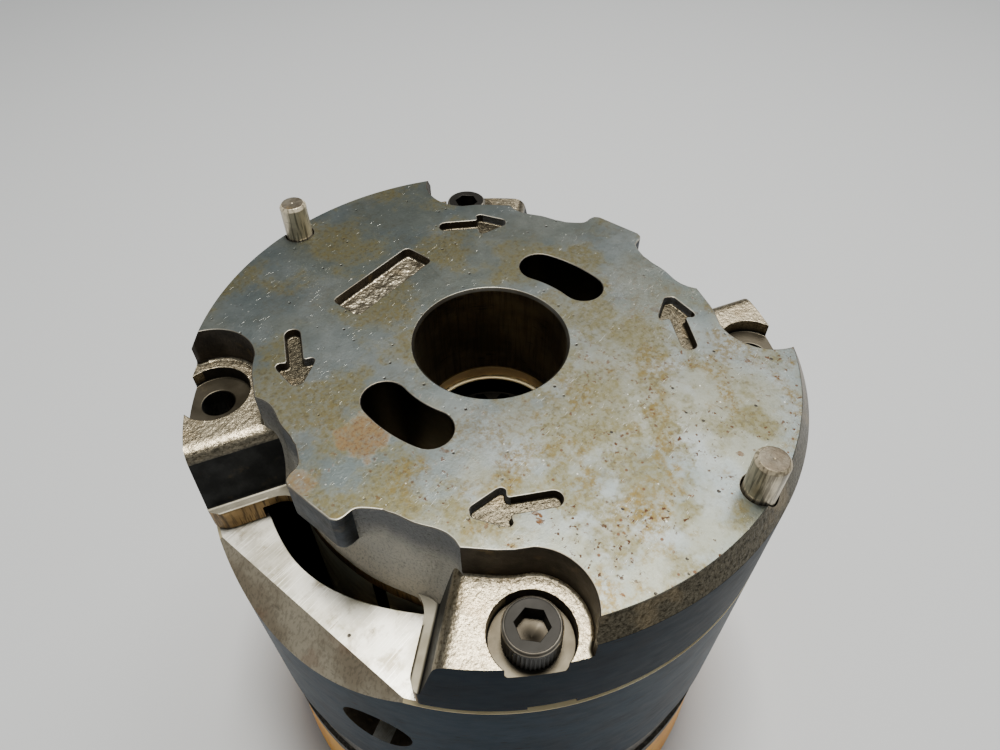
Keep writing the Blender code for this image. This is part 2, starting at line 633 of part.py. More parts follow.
inlet_support_plate()
cam_ring()
outlet_support_plate()
side_plate("inlet_side_plate", INLET_BASE, cut_windows=True)
side_plate("outlet_side_plate", OUTLET_TOP - SIDE_PLATE_T, cut_windows=False)
face_seal("inlet_face_seal", INLET_BASE + RECESS_DEPTH)
face_seal("outlet_face_seal", OUTLET_TOP - RECESS_DEPTH - SEAL_T)
hub_fittings()
stand_ring()
for letter, pin_angle in zip("ab", DOWEL_ANGLES):
    dowel_pin(f"dowel_pin_{letter}", pin_angle)
for letter, screw_angle in zip("ab", SCREW_ANGLES):
    cap_screw(f"cap_screw_{letter}", screw_angle)
rotor()
for k in range(VANE_COUNT):
    vane_and_insert(k + 1, VANE_PHASE + k * 360.0 / VANE_COUNT)
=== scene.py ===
"""The vane-pump cartridge in full detail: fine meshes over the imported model, finishes, light and
camera.

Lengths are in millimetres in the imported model's frame, where +Z is the shaft axis, and they
become metres as each mesh is made. Directions in plan are degrees from +X.
"""

import math

import bmesh
import bpy
from mathutils import Matrix, Vector


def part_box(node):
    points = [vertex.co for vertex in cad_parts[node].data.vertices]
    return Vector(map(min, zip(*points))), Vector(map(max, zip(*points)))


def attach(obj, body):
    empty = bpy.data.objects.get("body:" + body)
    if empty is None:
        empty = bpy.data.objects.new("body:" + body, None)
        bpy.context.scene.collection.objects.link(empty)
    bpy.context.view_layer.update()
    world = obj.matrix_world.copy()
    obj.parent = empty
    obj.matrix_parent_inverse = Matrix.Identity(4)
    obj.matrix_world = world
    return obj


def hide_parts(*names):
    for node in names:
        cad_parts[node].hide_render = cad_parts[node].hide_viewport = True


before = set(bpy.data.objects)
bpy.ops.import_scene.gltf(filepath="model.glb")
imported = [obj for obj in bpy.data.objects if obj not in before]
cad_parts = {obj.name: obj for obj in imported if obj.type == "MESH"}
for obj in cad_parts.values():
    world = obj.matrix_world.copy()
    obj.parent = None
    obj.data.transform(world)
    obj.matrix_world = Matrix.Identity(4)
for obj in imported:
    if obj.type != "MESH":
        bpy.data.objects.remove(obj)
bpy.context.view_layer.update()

MM = 0.001
GAP = 0.3


def extent(node, axis):
    """The low and high side of a node's box, in millimetres."""
    return [corner[axis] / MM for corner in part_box(node)]


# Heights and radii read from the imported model
INLET_BASE, TOP = extent("inlet_support_plate", 2)
RING_BASE, RING_TOP = extent("cam_ring", 2)
HUB_END, OUTLET_TOP = extent("outlet_support_plate", 2)
DOWEL_END, DOWEL_TOP = extent("dowel_pin_a", 2)
SCREW_END, HEAD_TOP = extent("cap_screw_a", 2)
STAND_TOP = extent("stand_ring", 2)[1]
BODY_R = extent("cam_ring", 1)[1]
SIDE_PLATE_R = extent("inlet_side_plate", 1)[1]
SIDE_PLATE_LOW, SIDE_PLATE_HIGH = extent("inlet_side_plate", 2)
SIDE_PLATE_T = SIDE_PLATE_HIGH - SIDE_PLATE_LOW
OUTLET_BASE = STAND_TOP + GAP

# Sizes that the boxes don't give
FACE_R = 60.0
BORE_R = 15.4
RECESS_R = SIDE_PLATE_R + GAP
RECESS_DEPTH = SIDE_PLATE_T + GAP
CHAMFER_DEPTH = 4.2
FASTENER_R = 57.0
SCREW_ANGLES = (45.0, 225.0)
HOLE_ANGLES = (45.0, 135.0, 225.0, 315.0)
SCREW_R = 3.0
SCREW_HOLE_R = SCREW_R + GAP
HEAD_R = 4.9
HEAD_H = 5.9
KNURLS = 42
KNURL_DEPTH = 0.28
KNURL_STEPS = 6
SOCKET_CORNER_R = 2.5 / math.cos(math.radians(30))
SOCKET_DEPTH = 3.4
DRILL_POINT_R = 2.35
DOWEL_CIRCLE_R = 57.6
DOWEL_ANGLES = (90.0, 270.0)
DOWEL_R = 3.0
DOWEL_HOLE_R = DOWEL_R + GAP
POCKET_FLOOR = TOP - 8.5
POCKET_R = 9.8
POCKET_CENTRE_R = 56.7
COUNTERBORE_R = 7.2
COUNTERBORE_FLOOR = TOP - 11.6
TOOTH_UNDERSIDE = TOP - 9.9
LEDGE_Z = TOP - 22.2
FOOT_TOP = TOP - 21.0
SCALLOP_LOW = TOP - 11.0
WINDOW_SIDE_ANGLE = 29.0
WINDOW_SIDE_LENGTH = 45.0
WINDOW_WALL_R = 46.5         # the windows' inner walls lie within it
TOOTH_R = 45.6               # the teeth's walls lie beyond it
FLANK_TOP = POCKET_FLOOR - 2.7
KIDNEY_R = 25.3
KIDNEY_HALF_ANGLE = 13.0
KIDNEY_HALF_WIDTH = 4.45
ARROW_R = 39.0
ARROWS = ((45.0, -90.0), (135.0, 98.0), (225.0, -86.0), (315.0, 90.0))
ARROW_DEPTH = 2.0
PANEL_R = 30.0
PANEL_SIZE = (23.0, 7.6)
PANEL_DEPTH = 2.4
CAM_MINOR_R = 45.8
CAM_MAJOR_R = 51.6
CAM_MAJOR_ANGLE = 135.0
CAM_MINOR_DWELL = 12.0
CAM_MAJOR_DWELL = 31.0
BEVEL_CHORD = 56.4
BEVEL_FALL = 6.8
RIM_PORT_R = 7.7
RIM_PORT_Z = TOP - 51.0
RIM_PORT_ANGLES = (16.7, 196.7)
ROTOR_R = 45.0
VANE_COUNT = 10
VANE_PHASE = 9.5
VANE_T = 2.6
SLOT_W = 3.2
SLOT_ROOT_R = 27.0
SLOT_ROOT_HOLE_R = 2.9
VANE_INNER_R = 30.4
VANE_TIP_R = 44.7
INSERT_OUTER_R = 37.7
INSERT_LENGTH = 17.4
SPLINE_TEETH = 14
SPLINE_MINOR_R = 12.4
SPLINE_MAJOR_R = 14.2
ROTOR_MOUTH_R = 14.7
ROTOR_MOUTH_DEPTH = 5.0
HUB_R = 34.0
GROOVE_R = 30.4
GROOVE_LOW = 12.0
GROOVE_HIGH = 17.7
BUSHING_R = 17.3
WELL_FLOOR = 38.0
DUCT_LOW = 38.5
DUCT_HIGH = 43.0
SEAL_INNER_R = 31.0
SEAL_OUTER_R = 34.6
SEAL_GROOVE_DEPTH = 2.4

ROUND_STEPS = 208            # facets round the body
HOLE_STEPS = 48              # facets round a screw hole
CAM_STEPS = 288              # facets round the cam track
CLEAR = 5.0                  # how far a tool runs on past the metal it cuts
BREAK = 0.01                 # a floor fillet too small to see
ROUNDING = [math.radians(degrees) for degrees in (0, 30, 60, 90)]


# ---------- outlines

def polar(radius, degrees):
    angle = math.radians(degrees)
    return radius * math.cos(angle), radius * math.sin(angle)


SCREW_PLACES = [polar(FASTENER_R, angle) for angle in SCREW_ANGLES]
DOWEL_PLACES = [polar(DOWEL_CIRCLE_R, angle) for angle in DOWEL_ANGLES]


def moved(points, by):
    return [(x + by[0], y + by[1]) for x, y in points]


def arc(centre, radius, start, end, steps):
    turns = [start + (end - start) * i / steps for i in range(steps + 1)]
    return moved([polar(radius, turn) for turn in turns], centre)


def circle(centre, radius, steps=HOLE_STEPS):
    return arc(centre, radius, 0.0, 360.0, steps)[:-1]


def turned_by(points, degrees):
    angle = math.radians(degrees)
    c, s = math.cos(angle), math.sin(angle)
    return [(x * c - y * s, x * s + y * c) for x, y in points]


def mirrored_y(points):
    return [(x, -y) for x, y in reversed(points)]


def mirrored_x(points):
    return [(-x, y) for x, y in reversed(points)]


def at_each_quarter(points):
    """A +X +Y outline and its three mirror images."""
    left = mirrored_x(points)
    return [points, left, mirrored_y(points), mirrored_y(left)]


def kidney(radius, half_angle, half_width):
    """A curved slot with round ends, on +X."""
    steps = 14
    outer = arc((0, 0), radius + half_width, -half_angle, half_angle, steps)
    inner = arc((0, 0), radius - half_width, half_angle, -half_angle, steps)
    high_end = arc(polar(radius, half_angle), half_width, half_angle, half_angle + 180, steps)
    low_end = arc(polar(radius, -half_angle), half_width, 180 - half_angle, 360 - half_angle, steps)
    return outer + high_end[1:-1] + inner + low_end[1:-1]


KIDNEY = kidney(KIDNEY_R, KIDNEY_HALF_ANGLE, KIDNEY_HALF_WIDTH)


def sector(inner, outer, half_angle):
    return (arc((0, 0), outer, -half_angle, half_angle, 16)
            + arc((0, 0), inner, half_angle, -half_angle, 16))


def corners(points):
    """Each point, between the one before it and the one after."""
    around = [Vector(point) for point in points]
    return zip(around[-1:] + around[:-1], around, around[1:] + around[:1])


def rounded(points, radius, steps=5, least_turn=14.0):
    """The outline with each sharp corner replaced by a curve of about that radius.
    radius is one number, or one for each point."""
    result = []
    radii = [radius] * len(points) if isinstance(radius, float) else radius
    for limit, (before, corner, after) in zip(radii, corners(points)):
        back, ahead = before - corner, after - corner
        turn = math.pi - back.angle(ahead, math.pi)
        if math.degrees(turn) < least_turn:
            result.append(tuple(corner))
            continue
        reach = min(limit * math.tan(turn / 2), 0.45 * back.length, 0.45 * ahead.length)
        start, end = corner + back.normalized() * reach, corner + ahead.normalized() * reach
        for k in range(steps + 1):
            t = k / steps
            result.append(tuple(start * (1 - t) ** 2 + corner * 2 * t * (1 - t) + end * t ** 2))
    return result


def through(points, steps=5):
    """A smooth open curve through the points."""
    ends = [points[0]] + list(points) + [points[-1]]
    curve = []
    for a, b, c, d in zip(ends, ends[1:], ends[2:], ends[3:]):
        for k in range(steps):
            t = k / steps
            curve.append(tuple(
                0.5 * (2 * q + (r - p) * t + (2 * p - 5 * q + 4 * r - s) * t * t
                       + (3 * q - p - 3 * r + s) * t ** 3)
                for p, q, r, s in zip(a, b, c, d)))
    return curve + [tuple(points[-1])]


def anticlockwise(points):
    area = sum(x1 * y2 - x2 * y1 for (x1, y1), (x2, y2) in zip(points, points[1:] + points[:1]))
    return points if area > 0 else points[::-1]


def grown(points, distance):
    """An anticlockwise outline moved outwards, each corner along its bisector."""
    result = []
    for before, corner, after in corners(points):
        u, v = (corner - before).normalized(), (after - corner).normalized()
        bisector = Vector((u.y + v.y, -u.x - v.x))
        result.append(tuple(corner + bisector * (2 * distance / max(bisector.length_squared, 0.8))))
    return result


# ---------- meshes

def rotation(degrees, axis):
    return Matrix.Rotation(math.radians(degrees), 4, axis)


def put(name, data):
    """Adds an object to the scene."""
    made = bpy.data.objects.new(name, data)
    bpy.context.scene.collection.objects.link(made)
    return made


def keep(name, shape):
    """Turns a bmesh into an object of the scene."""
    mesh = bpy.data.meshes.new(name)
    bmesh.ops.recalc_face_normals(shape, faces=shape.faces)
    shape.to_mesh(mesh)
    shape.free()
    return put(name, mesh)


def stack(name, loops, ring=False, place=None):
    """Skins loops of (x, y, z) points. A ring runs back to its first loop, others are capped."""
    shape = bmesh.new()
    rows = [[shape.verts.new((x * MM, y * MM, z * MM)) for x, y, z in loop] for loop in loops]
    pairs = list(zip(rows, rows[1:]))
    if ring:
        pairs.append((rows[-1], rows[0]))
    else:
        shape.faces.new(rows[0])
        shape.faces.new(rows[-1])
    count = len(rows[0])
    for low, high in pairs:
        for i in range(count):
            j = (i + 1) % count
            shape.faces.new((low[i], low[j], high[j], high[i]))
    if place is not None:
        shape.transform(place)
    return keep(name, shape)


def lathe(name, profile, steps=ROUND_STEPS, centre=(0.0, 0.0), ring=True):
    """Turns (radius, height) points about a vertical axis."""
    loops = [[(x, y, z) for x, y in circle(centre, radius, steps)] for radius, z in profile]
    return stack(name, loops, ring)


def eased(profile, radius, steps=3):
    """A turned profile with every corner rounded a little."""
    return rounded(profile, radius, steps, 20.0)


def prism(name, outline, low, high, place=None):
    outline = anticlockwise(outline)
    return stack(name, [[(x, y, z) for x, y in outline] for z in (low, high)], place=place)


def levelled(outline, levels):
    """The outline's loops at each (height, growth)."""
    return [[(x, y, z) for x, y in grown(outline, growth)] for z, growth in levels]


def recess(name, outline, floor, top, lip, fillet):
    """A sunken shape's tool: rounded where it meets the face at top, filleted round its floor."""
    levels = [(floor + fillet * (1 - math.cos(a)), -fillet * (1 - math.sin(a))) for a in ROUNDING]
    levels += [(top - lip * (1 - math.sin(a)), lip * (1 - math.cos(a))) for a in ROUNDING]
    return stack(name, levelled(anticlockwise(outline), levels + [(top + 4.0, lip)]))


def cut(target, *tools):
    """Makes the target's modifiers its mesh, with the tools cut away and removed."""
    for tool in tools:
        step = target.modifiers.new(tool.name, "BOOLEAN")
        step.object = tool
        step.operation = "DIFFERENCE"
        step.solver = "EXACT"
    bpy.context.view_layer.update()
    solid = target.evaluated_get(bpy.context.evaluated_depsgraph_get())
    mesh = bpy.data.meshes.new_from_object(solid)
    target.modifiers.clear()
    target.data = mesh
    for tool in tools:
        bpy.data.objects.remove(tool, do_unlink=True)


def drill(target, places, radius, low, high):
    cut(target, *[prism("drill", circle(place, radius), low, high) for place in places])


def finish_edges(piece, sharp):
    """Smooth shading that keeps flat faces flat and sharp edges sharp."""
    shape = bmesh.new()
    shape.from_mesh(piece.data)
    bmesh.ops.remove_doubles(shape, verts=shape.verts, dist=0.004 * MM)
    shape.to_mesh(piece.data)
    shape.free()
    piece.data.shade_smooth()
    piece.data.set_sharp_from_angle(angle=math.radians(sharp))
    piece.modifiers.new("flat faces", "WEIGHTED_NORMAL").keep_sharp = True


def paint(piece, zone):
    """Gives each face the finish that zone names, from the face's centre in millimetres, its normal
    and its centre's distance from the shaft axis."""
    names = []
    piece.data.materials.clear()
    for face in piece.data.polygons:
        centre = face.center / MM
        name = zone(centre, face.normal, math.hypot(centre.x, centre.y))
        if name not in names:
            names.append(name)
            piece.data.materials.append(FINISHES[name])
        face.material_index = names.index(name)


def settle(piece, zone, node, body="cartridge", sharp=32.0):
    """The finished piece stands for its CAD node and rides on its body."""
    finish_edges(piece, sharp)
    paint(piece, zone)
    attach(piece, body)
    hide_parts(node)


# ---------- finishes

FINISHES = {}


class Finish:
    """A Principled material built from a few kinds of node. Sizes are in millimetres."""

    def __init__(self, name, colour, roughness, metallic, **plain):
        material = FINISHES[name] = bpy.data.materials.new(name)
        material.use_nodes = True
        self.tree = material.node_tree
        self.shader = self.tree.nodes["Principled BSDF"]
        self.set("Base Color", colour)
        self.set("Roughness", roughness)
        self.set("Metallic", metallic)
        for key, value in plain.items():
            self.set(key.replace("_", " "), value)
        place = self.node("TexCoord").outputs["Object"]
        self.mm = self.node("VectorMath", {0: place, "Scale": 1.0 / MM},
                            operation="SCALE").outputs[0]
        self.heights = None

    def set(self, key, value):
        self.join(self.shader.inputs[key], value)

    def join(self, socket, value):
        if isinstance(value, bpy.types.NodeSocket):
            self.tree.links.new(value, socket)
        elif isinstance(value, tuple) and socket.type == "RGBA":
            socket.default_value = (*value, 1.0)
        else:
            socket.default_value = value

    def node(self, kind, inputs=None, **settings):
        made = self.tree.nodes.new("ShaderNode" + kind)
        for key, value in settings.items():
            setattr(made, key, value)
        for key, value in (inputs or {}).items():
            self.join(made.inputs[key], value)
        return made

    def maths(self, operation, a, b=0.0):
        return self.node("Math", {0: a, 1: b}, operation=operation).outputs[0]

    def part(self, axis):
        """One coordinate of the surface, in millimetres."""
        return self.node("SeparateXYZ", {0: self.mm}).outputs[axis]

    def shifted(self, seed, stretch=(1.0, 1.0, 1.0), turn=0.0):
        """The surface's place, moved by the seed so that no two patterns line up."""
        made = self.node("Mapping", {"Vector": self.mm})
        made.inputs["Location"].default_value = (seed * 13.7, seed * 7.3, seed * 3.1)
        made.inputs["Rotation"].default_value = (0.0, 0.0, math.radians(turn))
        made.inputs["Scale"].default_value = tuple(1.0 / s for s in stretch)
        return made.outputs[0]

    def noise(self, size, detail, seed, stretch=(1.0, 1.0, 1.0), turn=0.0, rough=0.55):
        """Soft random values round 0.5, with blobs of about that size."""
        made = self.node("TexNoise", {
            "Vector": self.shifted(seed, stretch, turn), "Scale": 1.0 / size, "Detail": detail,
            "Roughness": rough})
        return made.outputs["Fac"]

    def spots(self, pitch, seed, low, high):
        """Scattered dots, between low and high pitches in radius."""
        made = self.node("TexVoronoi", {"Vector": self.shifted(seed), "Scale": 1.0 / pitch})
        return self.mask(made.outputs["Distance"], high, low)

    def patches(self, low, high, *noise, **more):
        """Where a noise is high: 0 below low and 1 above high."""
        return self.mask(self.noise(*noise, **more), low, high)

    def near(self, centre, radius, ragged):
        """1 within about a radius of an upright line through centre, with a ragged border."""
        offsets = [self.maths("SUBTRACT", self.part(axis), centre[axis]) for axis in (0, 1)]
        away = self.maths("SQRT", self.maths("ADD", *[self.both(o, o) for o in offsets]))
        away = self.maths("ADD", away, self.span(self.noise(4.0, 5.0, radius), -ragged, ragged))
        return self.mask(away, radius + 0.7, radius - 0.7)

    def ranged(self, value, *ends, **settings):
        keys = ("From Min", "From Max", "To Min", "To Max")
        made = self.node("MapRange", {"Value": value, **dict(zip(keys, ends))}, **settings)
        return made.outputs["Result"]

    def mask(self, value, low, high):
        """0 below low and 1 above high, or the other way round when low is the higher."""
        return self.ranged(value, min(low, high), max(low, high), float(low > high),
                           float(low < high), interpolation_type="SMOOTHSTEP")

    def span(self, value, low, high):
        """A 0 to 1 value stretched to low to high."""
        return self.ranged(value, 0.0, 1.0, low, high)

    def fold(self, operation, values):
        result = values[0]
        for other in values[1:]:
            result = self.maths(operation, result, other)
        return result

    def both(self, *masks):
        """Where every mask is 1."""
        return self.fold("MULTIPLY", masks)

    def either(self, *masks):
        """Where any mask is 1."""
        return self.fold("MAXIMUM", masks)

    def lay(self, key, share, value):
        """Mixes a share of value over what a shader socket holds so far."""
        socket = self.shader.inputs[key]
        under = socket.links[0].from_socket if socket.is_linked else socket.default_value
        kind, first, result = ("RGBA", 6, 2) if socket.type == "RGBA" else ("FLOAT", 2, 0)
        made = self.node("Mix", data_type=kind)
        for place, given in ((0, share), (first, under), (first + 1, value)):
            self.join(made.inputs[place], given)
        self.set(key, made.outputs[result])

    def over(self, share, colour):
        self.lay("Base Color", share, colour)

    def rougher(self, share, value):
        self.lay("Roughness", share, value)

    def duller(self, share, value):
        self.lay("Metallic", share, value)

    def relief(self, value, height):
        """Adds height millimetres of relief where value is 1."""
        raised = self.maths("MULTIPLY", value, height)
        self.heights = raised if self.heights is None else self.maths("ADD", self.heights, raised)

    def done(self):
        """Joins the relief to the shader, if there is any."""
        if self.heights is not None:
            bump = self.node("Bump", {"Height": self.heights, "Distance": MM, "Strength": 1.0})
            self.set("Normal", bump.outputs["Normal"])


RUST = (0.09, 0.036, 0.012)
OCHRE = (0.36, 0.25, 0.11)
DIRT = (0.035, 0.03, 0.025)


def ground_face():
    """The lapped top: blue-grey steel with olive stains, rust specks, pits and fine scratches, with
    painted glints of light.
    """
    f = Finish("ground_face", (0.145, 0.172, 0.17), 0.31, 0.9)
    # rusty grows towards -Y
    rusty = f.mask(f.maths("ADD", f.maths("MULTIPLY", f.part(0), 0.35), f.part(1)), 15.0, -42.0)
    f.over(f.patches(0.4, 0.62, 24.0, 5.0, 1.0), (0.225, 0.248, 0.24))
    film = f.patches(0.44, 0.56, 22.0, 4.0, 2.0, rough=0.6)
    f.over(f.both(film, f.span(rusty, 0.25, 0.55)), (0.175, 0.17, 0.108))
    mottle = f.patches(0.38, 0.6, 1.2, 6.0, 4.0, rough=0.72)
    stain = f.both(f.patches(0.45, 0.58, 15.0, 5.0, 3.0, rough=0.62), f.span(mottle, 0.6, 1.0))
    # one broad stain between the bore, an arrow and a pin
    broad = f.both(f.near((-9.0, -33.0), 15.0, 9.0),
                   f.patches(0.4, 0.58, 5.0, 6.0, 19.0, rough=0.65))
    stain = f.either(stain, f.both(broad, f.span(mottle, 0.5, 1.0)))
    f.over(f.both(stain, 0.85), (0.118, 0.1, 0.036))
    warm = f.both(f.patches(0.48, 0.62, 8.0, 6.0, 6.0, rough=0.62), mottle, f.span(rusty, 0.2, 1.0))
    f.over(f.both(warm, 0.85), (0.125, 0.084, 0.02))
    grit = f.both(f.patches(0.53, 0.64, 0.8, 4.0, 7.0), f.span(stain, 0.12, 0.55))
    f.over(grit, (0.07, 0.058, 0.03))
    specks = f.both(f.patches(0.6, 0.66, 1.0, 4.0, 8.0), f.patches(0.45, 0.58, 8.0, 4.0, 9.0),
                    f.span(rusty, 0.1, 1.0))
    f.over(specks, RUST)
    crumbs = f.both(f.spots(2.1, 11.0, 0.1, 0.17), f.patches(0.48, 0.56, 6.0, 3.0, 12.0),
                    f.span(rusty, 0.1, 0.9))
    f.over(crumbs, (0.075, 0.034, 0.013))
    flakes = f.both(f.patches(0.655, 0.68, 3.4, 6.0, 13.0, (1.0, 1.5, 1.0), 30.0), rusty)
    f.over(f.both(flakes, f.span(mottle, 0.6, 1.0)), (0.08, 0.036, 0.012))
    # a bloom of rust beside the -X kidney, and rust along the tooth's edges
    bloom = f.either(f.near((-33.4, 2.6), 4.6, 3.6), f.both(f.near((-47.5, 3.5), 2.6, 3.0), 0.7))
    f.over(f.both(bloom, f.span(mottle, 0.35, 0.8)), (0.21, 0.13, 0.055))
    f.over(f.both(bloom, f.patches(0.46, 0.72, 0.6, 5.0, 16.0, rough=0.7)), (0.1, 0.045, 0.016))
    pits = f.both(f.spots(3.0, 14.0, 0.07, 0.12), f.patches(0.43, 0.56, 5.0, 2.0, 15.0))
    f.over(pits, DIRT)
    lines = []
    for seed, turn, length in ((21.0, 20.0, 9.0), (22.0, 75.0, 6.0), (23.0, 130.0, 5.0),
                               (24.0, -30.0, 12.0)):
        line = f.patches(0.79, 0.85, 0.3, 0.0, seed, (length, 0.4, 1.0), turn)
        lines.append(f.both(line, f.patches(0.53, 0.62, 8.0, 3.0, seed + 5)))
    scratches = f.either(*lines)
    # Painted highlights: scattered bright dots that stand in for glints of light, in the same pale
    # colour as the scratches, which are real wear
    painted_glints = f.both(f.spots(2.4, 17.0, 0.05, 0.08), f.patches(0.46, 0.56, 6.0, 2.0, 18.0))
    f.over(f.both(f.either(scratches, painted_glints), 0.55), (0.7, 0.7, 0.64))
    f.rougher(f.noise(3.0, 5.0, 30.0), 0.4)
    f.rougher(f.both(stain, 0.6), 0.5)
    f.rougher(f.either(specks, bloom), 0.8)
    f.duller(f.either(specks, bloom, f.both(stain, 0.2)), 0.3)
    f.relief(f.noise(0.5, 4.0, 31.0, rough=0.7), 0.022)
    f.relief(f.noise(6.0, 3.0, 32.0), 0.05)
    f.relief(pits, -0.05)
    f.relief(specks, 0.02)
    f.relief(scratches, -0.012)
    f.done()


def cast(name, colour, dark, grain, depth, roughness, metallic=0.85, ochre=0.5):
    """Rough cast iron: grain is the size of its bumps and depth their height."""
    f = Finish(name, colour, roughness, metallic)
    f.over(f.patches(0.35, 0.65, 6.0, 5.0, 1.0), dark)
    f.over(f.both(f.patches(0.55, 0.75, grain * 0.5, 4.0, 2.0), 0.35), DIRT)
    f.over(f.both(f.patches(0.6, 0.72, 5.0, 5.0, 4.0), ochre), OCHRE)
    f.rougher(f.noise(1.2, 4.0, 3.0), 0.62)
    f.relief(f.noise(grain, 4.0, 5.0), depth)
    f.relief(f.noise(grain * 5, 2.0, 6.0), depth * 1.5)
    f.done()


def scallop():
    """The windows' inner walls: near black under the face, a sandy tan towards the foot."""
    f = Finish("cast_scallop", (0.17, 0.175, 0.18), 0.42, 0.55)
    height = f.maths("ADD", f.part(2), f.span(f.noise(7.0, 4.0, 8.0), -4.0, 4.0))
    f.over(f.mask(height, TOP - 3.0, TOP - 14.0), (0.6, 0.565, 0.48))
    f.over(f.both(f.mask(height, TOP - 15.0, TOP - 21.0), 0.7), (0.66, 0.58, 0.44))
    f.over(f.both(f.patches(0.48, 0.68, 0.5, 5.0, 2.0, rough=0.7), 0.45), (0.03, 0.027, 0.024))
    f.rougher(f.noise(1.2, 4.0, 3.0), 0.6)
    f.relief(f.noise(0.9, 4.0, 5.0, rough=0.65), 0.4)
    f.relief(f.noise(4.0, 3.0, 6.0), 0.25)
    f.done()


def sandy(name, bright, painted_grain_shade, grain, lumps):
    """A cast floor as sparkling as coarse sand, with painted shade between its grains, darkening
    down the flank beside a window. grain and lumps are the heights of its fine and coarse bumps."""
    f = Finish(name, bright, 0.25, 1.0)
    # Painted shade: dark specks of the grain's size that stand in for the tiny shadows between the
    # grains
    f.over(f.both(f.patches(0.42, 0.66, 0.6, 5.0, 1.0, rough=0.7), 0.8), painted_grain_shade)
    f.over(f.both(f.patches(0.5, 0.66, 7.0, 4.0, 3.0), 0.5), (0.34, 0.26, 0.15))
    # only the sides of the pockets lie below their floors
    below = f.mask(f.maths("ADD", f.part(2), f.span(f.noise(3.0, 3.0, 7.0), -0.5, 0.5)),
                   POCKET_FLOOR - 1.0, POCKET_FLOOR - 3.2)
    f.over(below, (0.05, 0.05, 0.048))
    f.rougher(f.noise(0.9, 4.0, 4.0), 0.42)
    f.relief(f.noise(0.8, 4.0, 5.0, rough=0.65), grain)
    f.relief(f.noise(3.2, 3.0, 6.0), lumps)
    f.done()


def ring_top():
    """The ground face under a window: pale, cross-hatched and pitted."""
    f = Finish("ring_face", (0.72, 0.7, 0.62), 0.33, 0.95)
    f.over(f.patches(0.38, 0.66, 9.0, 5.0, 1.0), (0.42, 0.395, 0.31))
    f.over(f.both(f.patches(0.48, 0.66, 5.0, 6.0, 2.0, rough=0.65), 0.7), (0.25, 0.21, 0.125))
    hatch = f.either(*[f.noise(0.35, 1.0, seed, (26.0, 0.5, 1.0), turn)
                       for seed, turn in ((3.0, 35.0), (4.0, -28.0), (5.0, 80.0))])
    f.over(f.both(f.mask(hatch, 0.64, 0.78), 0.8), (0.97, 0.96, 0.9))
    pits = f.both(f.spots(4.5, 6.0, 0.08, 0.11), f.patches(0.46, 0.54, 6.0, 2.0, 7.0))
    f.over(pits, DIRT)
    f.rougher(f.noise(2.0, 5.0, 8.0), 0.45)
    f.relief(hatch, 0.03)
    f.relief(pits, -0.08)
    f.done()


def machined(name, colour, dark, roughness, lines=0.0, metallic=1.0, dashes=0.0, rust=0.0,
             drawn=0.0, specular=0.5):
    """A turned or ground surface with faint tool lines round Z, dark dashes, rust and drawn marks
    that run along Z."""
    f = Finish(name, colour, roughness, metallic, Specular_IOR_Level=specular)
    f.over(f.patches(0.38, 0.66, 14.0, 5.0, 1.0, (1.0, 1.0, 0.6)), dark)
    if dashes:
        marks = f.patches(0.63, 0.69, 1.5, 3.0, 7.0, (3.0, 3.0, 0.5))
        f.over(f.both(marks, f.patches(0.42, 0.56, 14.0, 2.0, 8.0), dashes), (0.004, 0.004, 0.005))
    if drawn:
        streak = f.noise(0.6, 3.0, 11.0, (1.0, 1.0, 14.0))
        f.over(f.both(f.mask(streak, 0.47, 0.62), drawn), (0.03, 0.02, 0.012))
        f.relief(streak, 0.05)
    if rust:
        rusty = f.both(f.patches(0.52, 0.68, 7.0, 6.0, 9.0), rust)
        f.over(rusty, RUST)
        f.duller(rusty, 0.2)
    f.rougher(f.noise(4.0, 5.0, 3.0, (1.0, 1.0, 0.4)), min(roughness + 0.18, 1.0))
    if lines:
        f.relief(f.noise(1.0, 2.0, 5.0, (40.0, 40.0, 0.25)), lines)
    f.relief(f.noise(0.7, 3.0, 6.0), 0.006)
    f.done()


def speckled(name, light, dark, size):
    """A rough band, dark with light specks."""
    f = Finish(name, dark, 0.4, 0.9)
    specks = f.noise(size, 4.0, 1.0, rough=0.65)
    f.over(f.mask(specks, 0.44, 0.7), light)
    f.over(f.both(f.patches(0.5, 0.64, 9.0, 4.0, 3.0), 0.7), dark)
    f.relief(specks, 0.25)
    f.done()


def moulded(name, colour, roughness, grain, depth, dull=None, dark=None, clouds=9.0, dirt=None):
    """Rubber or plastic, with darker clouds and dirt where they are given."""
    f = Finish(name, colour, roughness, 0.0)
    if dark:
        f.over(f.patches(0.4, 0.7, clouds, 4.0, 1.0), dark)
    if dirt:
        f.over(f.both(f.patches(0.6, 0.72, 3.0, 5.0, 2.0), 0.5), dirt)
    if dull:
        f.rougher(f.noise(2.0, 4.0, 3.0), dull)
    f.relief(f.noise(grain, 3.0, 4.0), depth)
    f.done()


ground_face()
machined("worn_edge", (0.3, 0.285, 0.24), (0.14, 0.12, 0.09), 0.33)
cast("cast_wall", (0.075, 0.063, 0.05), (0.035, 0.03, 0.024), grain=0.9, depth=0.07, roughness=0.5,
     ochre=0.25)
scallop()
cast("tooth_wall", (0.05, 0.06, 0.075), (0.02, 0.023, 0.028), grain=0.9, depth=0.07, roughness=0.4,
     ochre=0.15)
sandy("sandy_floor", (0.56, 0.48, 0.335), (0.13, 0.104, 0.066), grain=0.16, lumps=0.12)
sandy("panel_floor", (0.42, 0.37, 0.27), (0.18, 0.15, 0.1), grain=0.05, lumps=0.9)
sandy("arrow_floor", (0.15, 0.13, 0.09), (0.03, 0.024, 0.015), grain=0.16, lumps=0.08)
machined("spot_face", (0.095, 0.083, 0.061), (0.042, 0.035, 0.024), 0.34, dashes=0.2)
cast("rim_cone", (0.034, 0.028, 0.018), (0.019, 0.015, 0.01), grain=0.4, depth=0.012,
     roughness=0.42, metallic=0.9, ochre=0.15)
